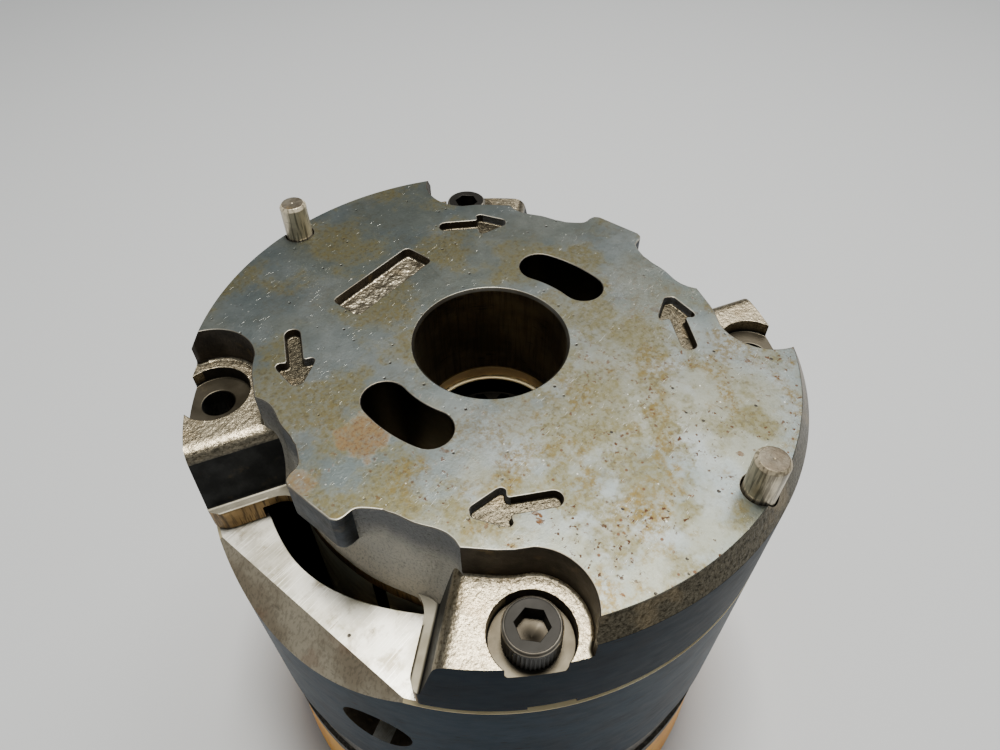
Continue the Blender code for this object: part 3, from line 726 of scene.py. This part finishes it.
# The plate's outer wall: dark oxide steel, its navy tint a painted reflection of a blue surround,
# with next to no real gloss of its own
machined("plate_wall_painted_reflection", (0.005, 0.016, 0.029), (0.003, 0.01, 0.019), 0.3, lines=0.01, metallic=0.0,
         dashes=0.8, specular=0.02)
machined("foot_wall", (0.38, 0.25, 0.11), (0.19, 0.12, 0.05), 0.38, lines=0.02, metallic=0.9,
         rust=0.2, drawn=0.8)
machined("ledge", (0.2, 0.187, 0.15), (0.11, 0.098, 0.07), 0.38)
machined("bore_wall", (0.22, 0.18, 0.115), (0.1, 0.08, 0.05), 0.38, lines=0.012, metallic=0.9,
         dashes=0.4, drawn=0.35)
# Painted shade: near black for the walls of through holes, slots and bores, and for vane tips,
# where light hardly reaches
machined("painted_shade", (0.018, 0.016, 0.013), (0.01, 0.009, 0.007), 0.5)
ring_top()
# The ring's outer wall: dark steel, its navy tint a painted reflection of a blue surround, with
# next to no real gloss of its own
machined("ring_wall_painted_reflection", (0.01, 0.031, 0.054), (0.006, 0.019, 0.034), 0.28, lines=0.01, metallic=0.0,
         dashes=0.9, specular=0.03)
machined("ring_bevel", (0.55, 0.49, 0.37), (0.34, 0.285, 0.2), 0.45, metallic=0.85, dashes=0.2,
         rust=0.5, drawn=0.25)
machined("ring_edge", (1.0, 0.86, 0.54), (0.8, 0.64, 0.36), 0.42, metallic=0.8)
cast("port_wall", (0.13, 0.1, 0.065), (0.05, 0.037, 0.024), grain=0.9, depth=0.1, roughness=0.42,
     metallic=0.9)
machined("cam_track", (0.12, 0.105, 0.075), (0.05, 0.044, 0.032), 0.25, lines=0.006)
machined("bronze", (0.42, 0.27, 0.12), (0.28, 0.18, 0.08), 0.32, lines=0.01)
cast("flank", (0.04, 0.04, 0.038), (0.018, 0.018, 0.017), grain=1.0, depth=0.05, roughness=0.4,
     metallic=0.9, ochre=0.1)
machined("bore_band", (0.95, 0.72, 0.4), (0.6, 0.42, 0.2), 0.45, metallic=0.5)
machined("bronze_edge", (0.34, 0.21, 0.09), (0.12, 0.07, 0.03), 0.34, lines=0.02, rust=0.2,
         drawn=0.5)
machined("rotor_steel", (0.24, 0.22, 0.19), (0.13, 0.12, 0.1), 0.34, lines=0.01)
# Painted light: the rotor's rim is painted much lighter than its steel faces to make up for the
# shade that the plate casts on it
machined("rotor_side_brightened", (0.72, 0.68, 0.48), (0.42, 0.38, 0.25), 0.4, lines=0.01, metallic=0.7)
machined("vane_steel", (0.55, 0.53, 0.5), (0.42, 0.4, 0.37), 0.24)
machined("black_steel", (0.045, 0.042, 0.038), (0.022, 0.021, 0.019), 0.36, metallic=0.95)
machined("screw_face", (0.024, 0.022, 0.019), (0.014, 0.013, 0.011), 0.42, metallic=0.8)
machined("socket_floor", (0.1, 0.086, 0.065), (0.05, 0.042, 0.03), 0.33)
machined("screw_rim", (0.85, 0.78, 0.64), (0.22, 0.19, 0.15), 0.28)
machined("pin_side", (0.95, 0.84, 0.62), (0.48, 0.4, 0.27), 0.24, lines=0.01, metallic=0.5,
         dashes=0.5, drawn=0.6)
cast("pin_end", (0.21, 0.19, 0.15), (0.11, 0.09, 0.065), grain=0.8, depth=0.1, roughness=0.4,
     metallic=0.9)
speckled("outlet_cast", (0.17, 0.15, 0.115), (0.035, 0.03, 0.024), size=1.3)
speckled("outlet_band", (0.08, 0.065, 0.048), (0.02, 0.017, 0.013), size=0.9)
moulded("stand_plastic", (0.97, 0.47, 0.025), 0.38, grain=0.9, depth=0.015, dull=0.55,
        dark=(0.85, 0.34, 0.015), clouds=18.0, dirt=(0.3, 0.13, 0.03))
moulded("seal_rubber", (0.018, 0.018, 0.019), 0.6, grain=0.5, depth=0.01, dull=0.75)
moulded("backup_plastic", (0.62, 0.58, 0.46), 0.45, grain=0.8, depth=0.01, dark=(0.5, 0.44, 0.3))

# ---------- inlet support plate

SCALLOP = [(42.0, 2.6), (42.0, 6.8), (42.0, 10.8), (41.3, 13.2), (40.6, 16.6), (39.3, 19.8),
           (38.8, 21.9), (38.9, 23.7)]
CUSP = (39.4, 25.3)
SIDE_START = (40.0, 27.6)
FOOT = [(45.1, 2.6), (44.7, 6.8), (43.9, 10.8), (43.2, 13.3), (42.4, 16.2), (41.6, 18.9),
        (41.6, 20.6), (41.2, 22.6)]
FOOT_CUSP = (40.8, 24.6)
# Where the ledge tapers into the foot
LEDGE_TIP = [(42.3, 15.9), (42.7, 17.4), (43.4, 18.8), (44.6, 20.1), (46.5, 21.2), (43.0, 22.0),
             (40.5, 19.5)]
FOOT_CORNER = [(52.9, 24.2), (54.7, 26.0), (55.6, 27.8), (55.4, 29.6), (60.0, 33.0), (66.0, 26.0),
               (58.0, 21.0)]
TOOTH = [(38.0, 10.8), (42.0, 10.8), (43.2, 8.8), (44.7, 7.1), (46.8, 6.8), (48.0, 6.3),
         (48.6, 5.2)]


def window_outline(edge, cusp):
    side_x, side_y = polar(WINDOW_SIDE_LENGTH, WINDOW_SIDE_ANGLE)
    half = through(edge) + [cusp, SIDE_START, (SIDE_START[0] + side_x, SIDE_START[1] + side_y)]
    return anticlockwise(mirrored_y(half) + half)


def pocket_outline():
    screw = polar(POCKET_CENTRE_R, 45.0)
    wall = arc(screw, POCKET_R, 215.7, 110.0, 26)
    outside = [(wall[-1][0] * 1.3, wall[-1][1] * 1.3), (75.0, 75.0), (80.0, 40.0)]
    return rounded([(41.0, 23.0), CUSP, (36.3, 30.0), (34.5, 32.2)] + wall + outside, 2.0, 6)


def window_tool(low, high, with_walls=True):
    """One window on +X: open through, its inner wall sweeping down to a foot over the rotor, its
    side walls spread above a ledge, its tooth left standing."""
    foot, scallop = window_outline(FOOT, FOOT_CUSP), window_outline(SCALLOP, CUSP)
    if not with_walls:
        return prism("window", foot, low, high)
    levels = [(low, 1.0), (FOOT_TOP - 1.6, 1.0)]
    for k in range(13):
        share = k / 12
        height = FOOT_TOP - 1.0 + (SCALLOP_LOW + 1.0 - FOOT_TOP) * share
        levels.append((height, (1.0 - share) ** 1.6))
    levels.append((TOP - 0.6, 0.0))
    loops = [[(x0 + (x1 - x0) * share, y0 + (y1 - y0) * share, z)
              for (x0, y0), (x1, y1) in zip(scallop, foot)] for z, share in levels]
    lip = [(TOP - 0.22, 0.01), (TOP - 0.11, 0.05), (TOP - 0.03, 0.13), (TOP, 0.24),
           (TOP + 4.0, 0.24)]
    tool = stack("window", loops + levelled(scallop, lip))
    flank = [(-4.4, low - CLEAR), (-4.1, LEDGE_Z), (-1.7, LEDGE_Z), (1.7, POCKET_FLOOR),
             (12.0, POCKET_FLOOR), (12.0, low - CLEAR)]
    flank = rounded(flank, (0.6, 0.6, 0.8, 3.4, 0.6, 0.6), 7)
    for flip in (1, -1):
        section = [(flip * n, z) for n, z in flank]
        along = Vector((*polar(1.0, flip * WINDOW_SIDE_ANGLE), 0.0))
        across = Vector((-along.y, along.x, 0.0))
        place = Matrix((across, (0.0, 0.0, 1.0), along)).transposed().to_4x4()
        tip = LEDGE_TIP if flip > 0 else mirrored_y(LEDGE_TIP)
        cut(tool, prism("flank", section, 20.0, 110.0, place),
            prism("ledge_tip", tip, low - CLEAR, LEDGE_Z))
    half = through(TOOTH[1:], 4)
    tooth = anticlockwise([TOOTH[0]] + half + mirrored_y(half) + mirrored_y([TOOTH[0]]))
    levels = [(TOOTH_UNDERSIDE, -1.1), (TOOTH_UNDERSIDE + 0.25, -0.55),
              (TOOTH_UNDERSIDE + 0.7, -0.15), (TOOTH_UNDERSIDE + 1.4, 0.0),
              (TOP - 0.22, 0.0), (TOP - 0.07, -0.07), (TOP, -0.24), (high, -0.24)]
    cut(tool, stack("tooth", levelled(tooth, levels)))
    return tool


def window_tools(low, high, with_walls=True):
    """The two windows, half a turn apart."""
    tools = [window_tool(low, high, with_walls) for side in "ab"]
    tools[1].data.transform(rotation(180.0, "Z"))
    return tools


def arrow_outline():
    half_shaft, half_head, tip, neck = 1.55, 3.8, 7.8, 1.5
    tail = arc((-tip + half_shaft, 0.0), half_shaft, 90.0, 270.0, 12)
    barb = [(neck, -half_shaft), (neck - 0.2, -half_head + 0.5), (neck + 0.5, -half_head),
            (neck + 1.4, -half_head + 0.3), (tip, -0.9)]
    return rounded(tail + barb + mirrored_y(barb), 1.0, 6, 20.0)


def inlet_support_plate():
    ceiling = INLET_BASE + RECESS_DEPTH
    groove_top = ceiling + SEAL_GROOVE_DEPTH
    plate = lathe("inlet_support_plate_fine", eased([
        (FACE_R, TOP), (BODY_R, TOP - CHAMFER_DEPTH), (BODY_R, INLET_BASE + 0.5),
        (BODY_R - 0.5, INLET_BASE), (RECESS_R, INLET_BASE), (RECESS_R, ceiling),
        (SEAL_OUTER_R, ceiling), (SEAL_OUTER_R, groove_top), (SEAL_INNER_R, groove_top),
        (SEAL_INNER_R, ceiling), (BORE_R, ceiling), (BORE_R, TOP - 0.7),
        (BORE_R + 0.5, TOP)], 0.25))
    cut(plate, *window_tools(INLET_BASE - 8.0, TOP + 4.0))
    cut(plate, *[recess("pocket", outline, POCKET_FLOOR, TOP, 0.25, 0.8)
                 for outline in at_each_quarter(pocket_outline())])
    below = INLET_BASE - CLEAR
    screws = [polar(FASTENER_R, angle) for angle in HOLE_ANGLES]
    for name, places, radius, steps, floor, top, lip, fillet in (
            ("counterbore", screws, COUNTERBORE_R, 64, COUNTERBORE_FLOOR, POCKET_FLOOR, 0.2, 0.3),
            ("screw_hole", screws, SCREW_HOLE_R, HOLE_STEPS, below, COUNTERBORE_FLOOR, 0.3, BREAK),
            ("dowel_hole", DOWEL_PLACES, DOWEL_HOLE_R, HOLE_STEPS, below, TOP, 0.2, BREAK)):
        cut(plate, *[recess(name, circle(place, radius, steps), floor, top, lip, fillet)
                     for place in places])
    cut(plate, *[recess("kidney", turned_by(KIDNEY, turn), below, TOP, 0.2, BREAK)
                 for turn in (0.0, 180.0)])
    for angle, heading in ARROWS:
        outline = moved(turned_by(arrow_outline(), angle + heading), polar(ARROW_R, angle))
        cut(plate, recess("arrow", outline, TOP - ARROW_DEPTH, TOP, 0.22, 0.45))
    half_x, half_y = PANEL_SIZE[0] / 2, PANEL_SIZE[1] / 2
    panel = [(half_x, PANEL_R + half_y), (-half_x, PANEL_R + half_y),
             (-half_x, PANEL_R - half_y), (half_x, PANEL_R - half_y)]
    cut(plate, recess("panel", rounded(panel, 1.3, 6), TOP - PANEL_DEPTH, TOP, 0.22, 0.5))
    cut(plate, *[prism("foot_corner", outline, below, LEDGE_Z + 0.2)
                 for outline in at_each_quarter(rounded(FOOT_CORNER, 1.5, 6))])
    inner, outer, half_width = BODY_R - 3.0, BODY_R + 5.0, 4.3
    notch = [(inner, -half_width), (outer, -half_width), (outer, half_width), (inner, half_width)]
    cut(plate, *[prism("pry_notch", turned_by(notch, angle + 3.0), below, INLET_BASE + 1.8)
                 for angle in SCREW_ANGLES])

    def zone(c, n, r):
        if c.z > TOP - 0.06 and n.z > 0.97:
            return "ground_face"
        if c.z > TOP - 0.6 and n.z > 0.3:
            return "worn_edge"
        if r < BORE_R + 0.3:
            return "bore_wall"
        # The kidney ports' walls get painted shade
        if abs(r - KIDNEY_R) < KIDNEY_HALF_WIDTH + 0.3 and abs(n.z) < 0.5 and c.z < TOP - 3:
            return "painted_shade"
        if n.z > 0.3 and TOP - 3.0 < c.z:
            return "panel_floor" if c.y > 24.0 and abs(c.x) < 13.0 else "arrow_floor"
        on_spot_face = abs(c.z - COUNTERBORE_FLOOR) < 0.4
        if n.z > 0.5 and c.z > POCKET_FLOOR - 3.4 and r < FACE_R + 0.2 and not on_spot_face:
            return "sandy_floor"
        if n.z > 0.8 and on_spot_face:
            return "spot_face"
        if r > BODY_R - 0.15 and abs(n.z) < 0.3:
            return "plate_wall_painted_reflection"
        if r > FACE_R - 0.4 and n.z > 0.3 and c.z > TOP - CHAMFER_DEPTH - 0.5:
            return "rim_cone"
        if n.z > 0.8:
            return "ledge"
        on_inner_wall = abs(n.x) > 0.5 and r < WINDOW_WALL_R and abs(c.y) < 25.0
        if c.z < LEDGE_Z + 0.1 and not on_inner_wall:
            return "foot_wall"
        if r > TOOTH_R and abs(c.y) < 9.0:
            return "tooth_wall"
        if abs(n.y) > 0.8 and abs(c.y) > 22.0 and c.z < FLANK_TOP:
            return "flank"
        if r < 49.0 and abs(c.y) < 26.0 and c.z > INLET_BASE + 3:
            return "cast_scallop"
        if LEDGE_Z - 0.1 < c.z < POCKET_FLOOR and abs(c.x) > 38.0:
            return "sandy_floor" if c.z > FLANK_TOP else "flank"
        if n.z > 0.3:
            return "rim_cone"
        return "cast_wall"

    settle(plate, zone, "inlet_support_plate")


# ---------- cam ring

def cam_radius(degrees):
    from_minor = min(abs((degrees - CAM_MAJOR_ANGLE) % 180.0 - 90.0), 90.0)
    share = (from_minor - CAM_MINOR_DWELL) / (90.0 - CAM_MINOR_DWELL - CAM_MAJOR_DWELL)
    share = min(max(share, 0.0), 1.0)
    return CAM_MINOR_R + (CAM_MAJOR_R - CAM_MINOR_R) * share * share * (3 - 2 * share)


def cam_ring():
    ring = lathe("cam_ring_fine", eased([
        (BODY_R - 0.6, RING_TOP), (BODY_R, RING_TOP - 0.6), (BODY_R, RING_BASE + 0.6),
        (BODY_R - 0.6, RING_BASE), (CAM_MINOR_R - 5, RING_BASE),
        (CAM_MINOR_R - 5, RING_TOP)], 0.15))
    for angle in RIM_PORT_ANGLES:
        place = (rotation(angle, "Z")
                 @ Matrix.Translation((0.0, 0.0, RIM_PORT_Z * MM))
                 @ rotation(90, "Y"))
        port = circle((0, 0), RIM_PORT_R, 72)
        cut(ring, prism("rim_port", port, CAM_MINOR_R - 8.0, BODY_R + 6.0, place))
    turns = [i * 360 / CAM_STEPS for i in range(CAM_STEPS)]
    bore = [polar(cam_radius(turn), turn) for turn in turns]
    cut(ring, recess("cam_bore", bore, RING_BASE - CLEAR, RING_TOP, 0.15, BREAK))
    drill(ring, SCREW_PLACES + DOWEL_PLACES, SCREW_HOLE_R, RING_BASE - CLEAR, RING_TOP + CLEAR)
    run = BODY_R - BEVEL_CHORD
    bevel = [(BEVEL_CHORD - run, RING_TOP + BEVEL_FALL), (BODY_R + run, RING_TOP - 2 * BEVEL_FALL),
             (BODY_R + run, RING_TOP + BEVEL_FALL)]
    upright = rotation(90.0, "X")
    cut(ring, prism("bevel", bevel, -70.0, 70.0, upright),
        prism("bevel", mirrored_x(bevel), -70.0, 70.0, upright))

    def zone(c, n, r):
        if n.z > 0.97:
            return "ring_face"
        if n.z > 0.5 and abs(n.x) > 0.5 and r > BEVEL_CHORD - 1 and abs(n.y) < 0.1:
            return "ring_bevel"
        if c.z > RING_TOP - 0.9 and r > BODY_R - 0.9:
            return "ring_edge"
        if r > BODY_R - 0.1:
            return "ring_wall_painted_reflection"
        if abs(r - cam_radius(math.degrees(math.atan2(c.y, c.x)))) < 0.3:
            return "cam_track"
        return "port_wall"

    settle(ring, zone, "cam_ring")


# ---------- side plates, seals and hub

def side_plate(node, low, windows):
    """A bronze side plate, with the inlet windows or with the two pressure ports."""
    plate = lathe(node + "_fine", eased([
        (RECESS_R - GAP, low + SIDE_PLATE_T), (RECESS_R - GAP, low), (BORE_R, low),
        (BORE_R, low + SIDE_PLATE_T)], 0.2), 160)
    below, above = low - 3, low + 6
    turns = (0.0, 180.0) if windows else (90.0, 270.0)
    tools = [prism("port", turned_by(KIDNEY, turn), below, above) for turn in turns]
    if windows:
        tools += window_tools(below, above, with_walls=False)
    else:
        port = rounded(sector(43.5, 50.5, 15.0), 1.0)
        tools += [prism("pressure_port", turned_by(port, turn), below, above) for turn in turns]
    cut(plate, *tools)

    def zone(c, n, r):
        if abs(n.z) > 0.5:
            return "bronze"
        return "bore_band" if r < BORE_R + 0.3 else "bronze_edge"

    settle(plate, zone, node)


def outlet_support_plate():
    floor = OUTLET_TOP - RECESS_DEPTH
    groove_floor = floor - SEAL_GROOVE_DEPTH
    plate = lathe("outlet_support_plate_fine", eased([
        (BODY_R - 1.2, OUTLET_TOP),
        (BODY_R - 1.2, OUTLET_BASE + 6.5), (BODY_R - 0.2, OUTLET_BASE + 5.5),
        (BODY_R - 0.2, OUTLET_BASE), (HUB_R, OUTLET_BASE),
        (HUB_R, GROOVE_HIGH), (GROOVE_R, GROOVE_HIGH), (GROOVE_R, GROOVE_LOW), (HUB_R, GROOVE_LOW),
        (HUB_R, HUB_END + 1.5), (HUB_R - 1.5, HUB_END), (BUSHING_R, HUB_END), (BUSHING_R, floor),
        (SEAL_INNER_R, floor), (SEAL_INNER_R, groove_floor), (SEAL_OUTER_R, groove_floor),
        (SEAL_OUTER_R, floor), (RECESS_R, floor), (RECESS_R, OUTLET_TOP)], 0.25))
    # The discharge runs from a well under the cam chamber, in through a duct and down the hub
    well, duct = rounded(sector(38.0, 50.5, 15.0), 1.0), sector(24.0, 40.0, 11.0)
    passage = kidney(24.0, KIDNEY_HALF_ANGLE, 3.6)
    for angle in DOWEL_ANGLES:
        cut(plate, prism("well", turned_by(well, angle), WELL_FLOOR, OUTLET_TOP + 3),
            prism("duct", turned_by(duct, angle), DUCT_LOW, DUCT_HIGH),
            prism("passage", turned_by(passage, angle), HUB_END - CLEAR, OUTLET_TOP + 3))
    drill(plate, SCREW_PLACES, SCREW_HOLE_R, SCREW_END - GAP, OUTLET_TOP + CLEAR)
    drill(plate, DOWEL_PLACES, DOWEL_HOLE_R, DOWEL_END - GAP, OUTLET_TOP + CLEAR)

    def zone(c, n, r):
        if r > BODY_R - 1.6 and c.z > OUTLET_BASE + 6.0:
            return "outlet_cast"
        if r > BODY_R - 1.0:
            return "outlet_band"
        if abs(n.z) > 0.8:
            return "ledge"
        return "rotor_steel"

    settle(plate, zone, "outlet_support_plate")


def stand_ring():
    ring = lathe("stand_ring_fine", rounded([
        (BODY_R - 1.2, STAND_TOP), (BODY_R - 0.4, STAND_TOP - 0.8), (BODY_R + 0.8, 3.0),
        (BODY_R + 0.8, 1.0), (BODY_R - 0.2, 0.0), (HUB_R + 3.0, 0.0), (HUB_R + 1.0, 2.0),
        (HUB_R + 1.0, STAND_TOP)], 0.8, 4, 15.0))
    settle(ring, lambda c, n, r: "stand_plastic", "stand_ring")


# ---------- fasteners

def dowel_pin(letter, place):
    profile = eased([
        (0.01, DOWEL_TOP), (DOWEL_R - 0.55, DOWEL_TOP), (DOWEL_R, DOWEL_TOP - 0.7),
        (DOWEL_R, DOWEL_END + 0.5), (DOWEL_R - 0.5, DOWEL_END), (0.01, DOWEL_END)], 0.3, 4)
    pin = lathe(f"dowel_pin_{letter}_fine", profile[1:-1], 64, place, ring=False)

    def zone(c, n, r):
        return "pin_end" if n.z > 0.9 else "pin_side"

    settle(pin, zone, f"dowel_pin_{letter}", sharp=50.0)


def cap_screw(letter, place):
    """A socket-head screw: knurled head, hexagon socket with a drilled cone below it."""
    x0, y0 = place
    under_head, socket_floor = HEAD_TOP - HEAD_H, HEAD_TOP - SOCKET_DEPTH
    steps = KNURLS * KNURL_STEPS
    levels = [
        (SCREW_R - 0.8, SCREW_END, 0), (SCREW_R, SCREW_END + 0.8, 0), (SCREW_R, under_head, 0),
        (HEAD_R - 0.3, under_head, 0), (HEAD_R, under_head + 0.3, 1), (HEAD_R, HEAD_TOP - 1.5, 1),
        (HEAD_R, HEAD_TOP - 1.2, 0), (HEAD_R, HEAD_TOP - 0.55, 0),
        (HEAD_R - 0.17, HEAD_TOP - 0.2, 0), (HEAD_R - 0.5, HEAD_TOP, 0),
        (HEAD_R - 0.8, HEAD_TOP, 0)]
    loops = []
    for radius, z, knurled in levels:
        loop = []
        for i in range(steps):
            wave = 0.5 - 0.5 * math.cos(2 * math.pi * i * KNURLS / steps)
            x, y = polar(radius - knurled * KNURL_DEPTH * wave, i * 360 / steps)
            loop.append((x0 + x, y0 + y, z))
        loops.append(loop)
    screw = stack(f"cap_screw_{letter}_fine", loops)
    hexagon = circle(place, SOCKET_CORNER_R, 6)
    cut(screw, recess("socket", hexagon, socket_floor, HEAD_TOP, 0.12, BREAK))
    cone = [[(x, y, z) for x, y in circle(place, radius, 32)]
            for radius, z in ((0.05, socket_floor - 1.2), (DRILL_POINT_R, socket_floor),
                              (DRILL_POINT_R, socket_floor + 0.2))]
    cut(screw, stack("drill_point", cone))

    def zone(c, n, r):
        off_axis = math.hypot(c.x - x0, c.y - y0)
        if c.z > HEAD_TOP - 0.6 and off_axis > HEAD_R - 0.5 and n.z > 0.1:
            return "screw_rim"
        if n.z > 0.9 and c.z > HEAD_TOP - 0.1:
            return "screw_face"
        if off_axis < 2.6 and under_head < c.z < socket_floor + 0.1:
            return "socket_floor"
        return "black_steel"

    settle(screw, zone, f"cap_screw_{letter}", sharp=40.0)


# ---------- rotor and vanes

def rotor():
    pitch = 360.0 / VANE_COUNT
    mouth = math.degrees(math.asin(SLOT_W / 2 / ROTOR_R))
    neck = math.degrees(math.asin(SLOT_W / 2 / SLOT_ROOT_HOLE_R))
    outline = []
    for i in range(VANE_COUNT):
        slot = [(ROTOR_R * math.cos(math.radians(mouth)), -SLOT_W / 2)]
        slot += arc((SLOT_ROOT_R, 0.0), SLOT_ROOT_HOLE_R, -neck, neck - 360.0, 24)
        slot.append((slot[0][0], SLOT_W / 2))
        land = VANE_PHASE + i * pitch
        outline += turned_by(slot, land)
        outline += arc((0, 0), ROTOR_R, land + mouth, land + pitch - mouth, 20)[1:-1]
    drum = prism("rotor_fine", outline, RING_BASE, RING_TOP)
    spline = []
    tooth = 360.0 / SPLINE_TEETH
    for i in range(SPLINE_TEETH):
        for share, radius in ((-0.32, SPLINE_MINOR_R), (-0.15, SPLINE_MAJOR_R),
                              (0.15, SPLINE_MAJOR_R), (0.32, SPLINE_MINOR_R)):
            spline.append(polar(radius, (i + share) * tooth))
    mouth_outline = circle((0, 0), ROTOR_MOUTH_R, 96)
    cut(drum, recess("spline", spline, RING_BASE - CLEAR, RING_TOP, 0.5, BREAK),
        recess("mouth", mouth_outline, RING_TOP - ROTOR_MOUTH_DEPTH, RING_TOP, 0.4, 0.3))

    def zone(c, n, r):
        if r > ROTOR_R - 0.3 and abs(n.z) < 0.5:
            return "rotor_side_brightened"
        # Below the mouth's bright chamfer, the bore, spline and slot walls get painted shade
        if r < ROTOR_MOUTH_R + 0.6:
            return "ring_edge" if c.z > RING_TOP - 0.6 and n.z > 0.1 else "painted_shade"
        return "rotor_steel" if abs(n.z) > 0.5 else "painted_shade"

    settle(drum, zone, "rotor", "rotor")


def vane(number, angle):
    middle = (RING_BASE + RING_TOP) / 2
    half_notch = INSERT_LENGTH / 2 + GAP
    place = rotation(angle, "Z") @ rotation(90, "X")
    outline = [
        (VANE_INNER_R, RING_BASE), (VANE_TIP_R, RING_BASE), (VANE_TIP_R, RING_TOP),
        (VANE_INNER_R, RING_TOP), (VANE_INNER_R, middle + half_notch),
        (INSERT_OUTER_R + 2 * GAP, middle + half_notch),
        (INSERT_OUTER_R + 2 * GAP, middle - half_notch), (VANE_INNER_R, middle - half_notch)]
    name = f"vane_{number:02d}"
    blade = prism(name + "_fine", outline, -VANE_T / 2, VANE_T / 2, place)
    edge = blade.modifiers.new("edge", "BEVEL")
    edge.width = 0.15 * MM
    edge.segments = 2
    cut(blade)

    def zone(c, n, r):
        # The vane's tip, down in its slot, gets painted shade
        tip = r > VANE_TIP_R - 0.4 and abs(n.z) < 0.5
        return "painted_shade" if tip else "vane_steel"

    settle(blade, zone, name, name)


def carried_over():
    """CAD nodes whose shape is right keep it and get a finish."""
    looks = {f"vane_insert_{k + 1:02d}": "vane_steel" for k in range(VANE_COUNT)}
    looks |= {"outlet_bushing": "bronze", "hub_backup_ring": "backup_plastic",
              "hub_seal_ring": "seal_rubber", "inlet_face_seal": "seal_rubber",
              "outlet_face_seal": "seal_rubber"}
    for node, finish in looks.items():
        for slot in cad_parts[node].material_slots:
            slot.material = FINISHES[finish]


# ---------- stage, light and camera

def stage():
    shape = bmesh.new()
    bmesh.ops.create_grid(shape, x_segments=1, y_segments=1, size=6.0)
    floor = keep("floor", shape)
    Finish("floor", (0.6, 0.615, 0.63), 0.8, 0.0).done()
    floor.data.materials.append(FINISHES["floor"])


def soft_light(name, place, power, size, colour):
    data = bpy.data.lights.new(name, "AREA")
    data.energy = power
    data.size = size
    data.color = colour
    light = put(name, data)
    light.location = place
    target = Vector((0.0, 0.0, 0.1))
    light.rotation_euler = (target - light.location).to_track_quat("-Z", "Y").to_euler()


def studio():
    world = bpy.data.worlds.new("studio")
    bpy.context.scene.world = world
    world.use_nodes = True
    tree = world.node_tree
    background = tree.nodes["Background"]
    place, split, ramp = [tree.nodes.new("ShaderNode" + kind)
                          for kind in ("TexCoord", "SeparateXYZ", "ValToRGB")]
    tree.links.new(place.outputs["Generated"], split.inputs[0])
    tree.links.new(split.outputs[2], ramp.inputs[0])
    tree.links.new(ramp.outputs[0], background.inputs["Color"])
    # Dim at the horizon, bright overhead
    for stop, position, colour in zip(ramp.color_ramp.elements, (0.4, 0.95), (
            (0.085, 0.098, 0.115, 1.0), (0.62, 0.66, 0.7, 1.0))):
        stop.position = position
        stop.color = colour
    background.inputs["Strength"].default_value = 0.5
    soft_light("key", (0.07, 0.05, 1.0), 12.0, 0.2, (1.0, 0.97, 0.9))
    soft_light("side", (0.44, 0.0, 0.85), 3.2, 0.4, (1.0, 0.98, 0.95))


def camera():
    """The photograph's viewing angle."""
    data = bpy.data.cameras.new("photo_view")
    data.sensor_width = 36.0
    data.lens = 25.93
    data.shift_x = 0.0101
    data.shift_y = -0.008
    data.clip_start = 0.01
    view = put("photo_view", data)
    heading, pitch, roll = -50.58, 46.92, -1.09
    view.matrix_world = (
        Matrix.Translation((-0.0798, -0.0653, 0.2313))
        @ rotation(heading, "Z")
        @ rotation(90.0 - pitch, "X")
        @ rotation(roll, "Z"))
    bpy.context.scene.camera = view


stage()
studio()
camera()
inlet_support_plate()
cam_ring()
side_plate("inlet_side_plate", INLET_BASE, windows=True)
side_plate("outlet_side_plate", OUTLET_TOP - SIDE_PLATE_T, windows=False)
outlet_support_plate()
stand_ring()
for letter, place in zip("ab", DOWEL_PLACES):
    dowel_pin(letter, place)
for letter, place in zip("ab", SCREW_PLACES):
    cap_screw(letter, place)
rotor()
for k in range(VANE_COUNT):
    vane(k + 1, VANE_PHASE + k * 360.0 / VANE_COUNT)
carried_over()
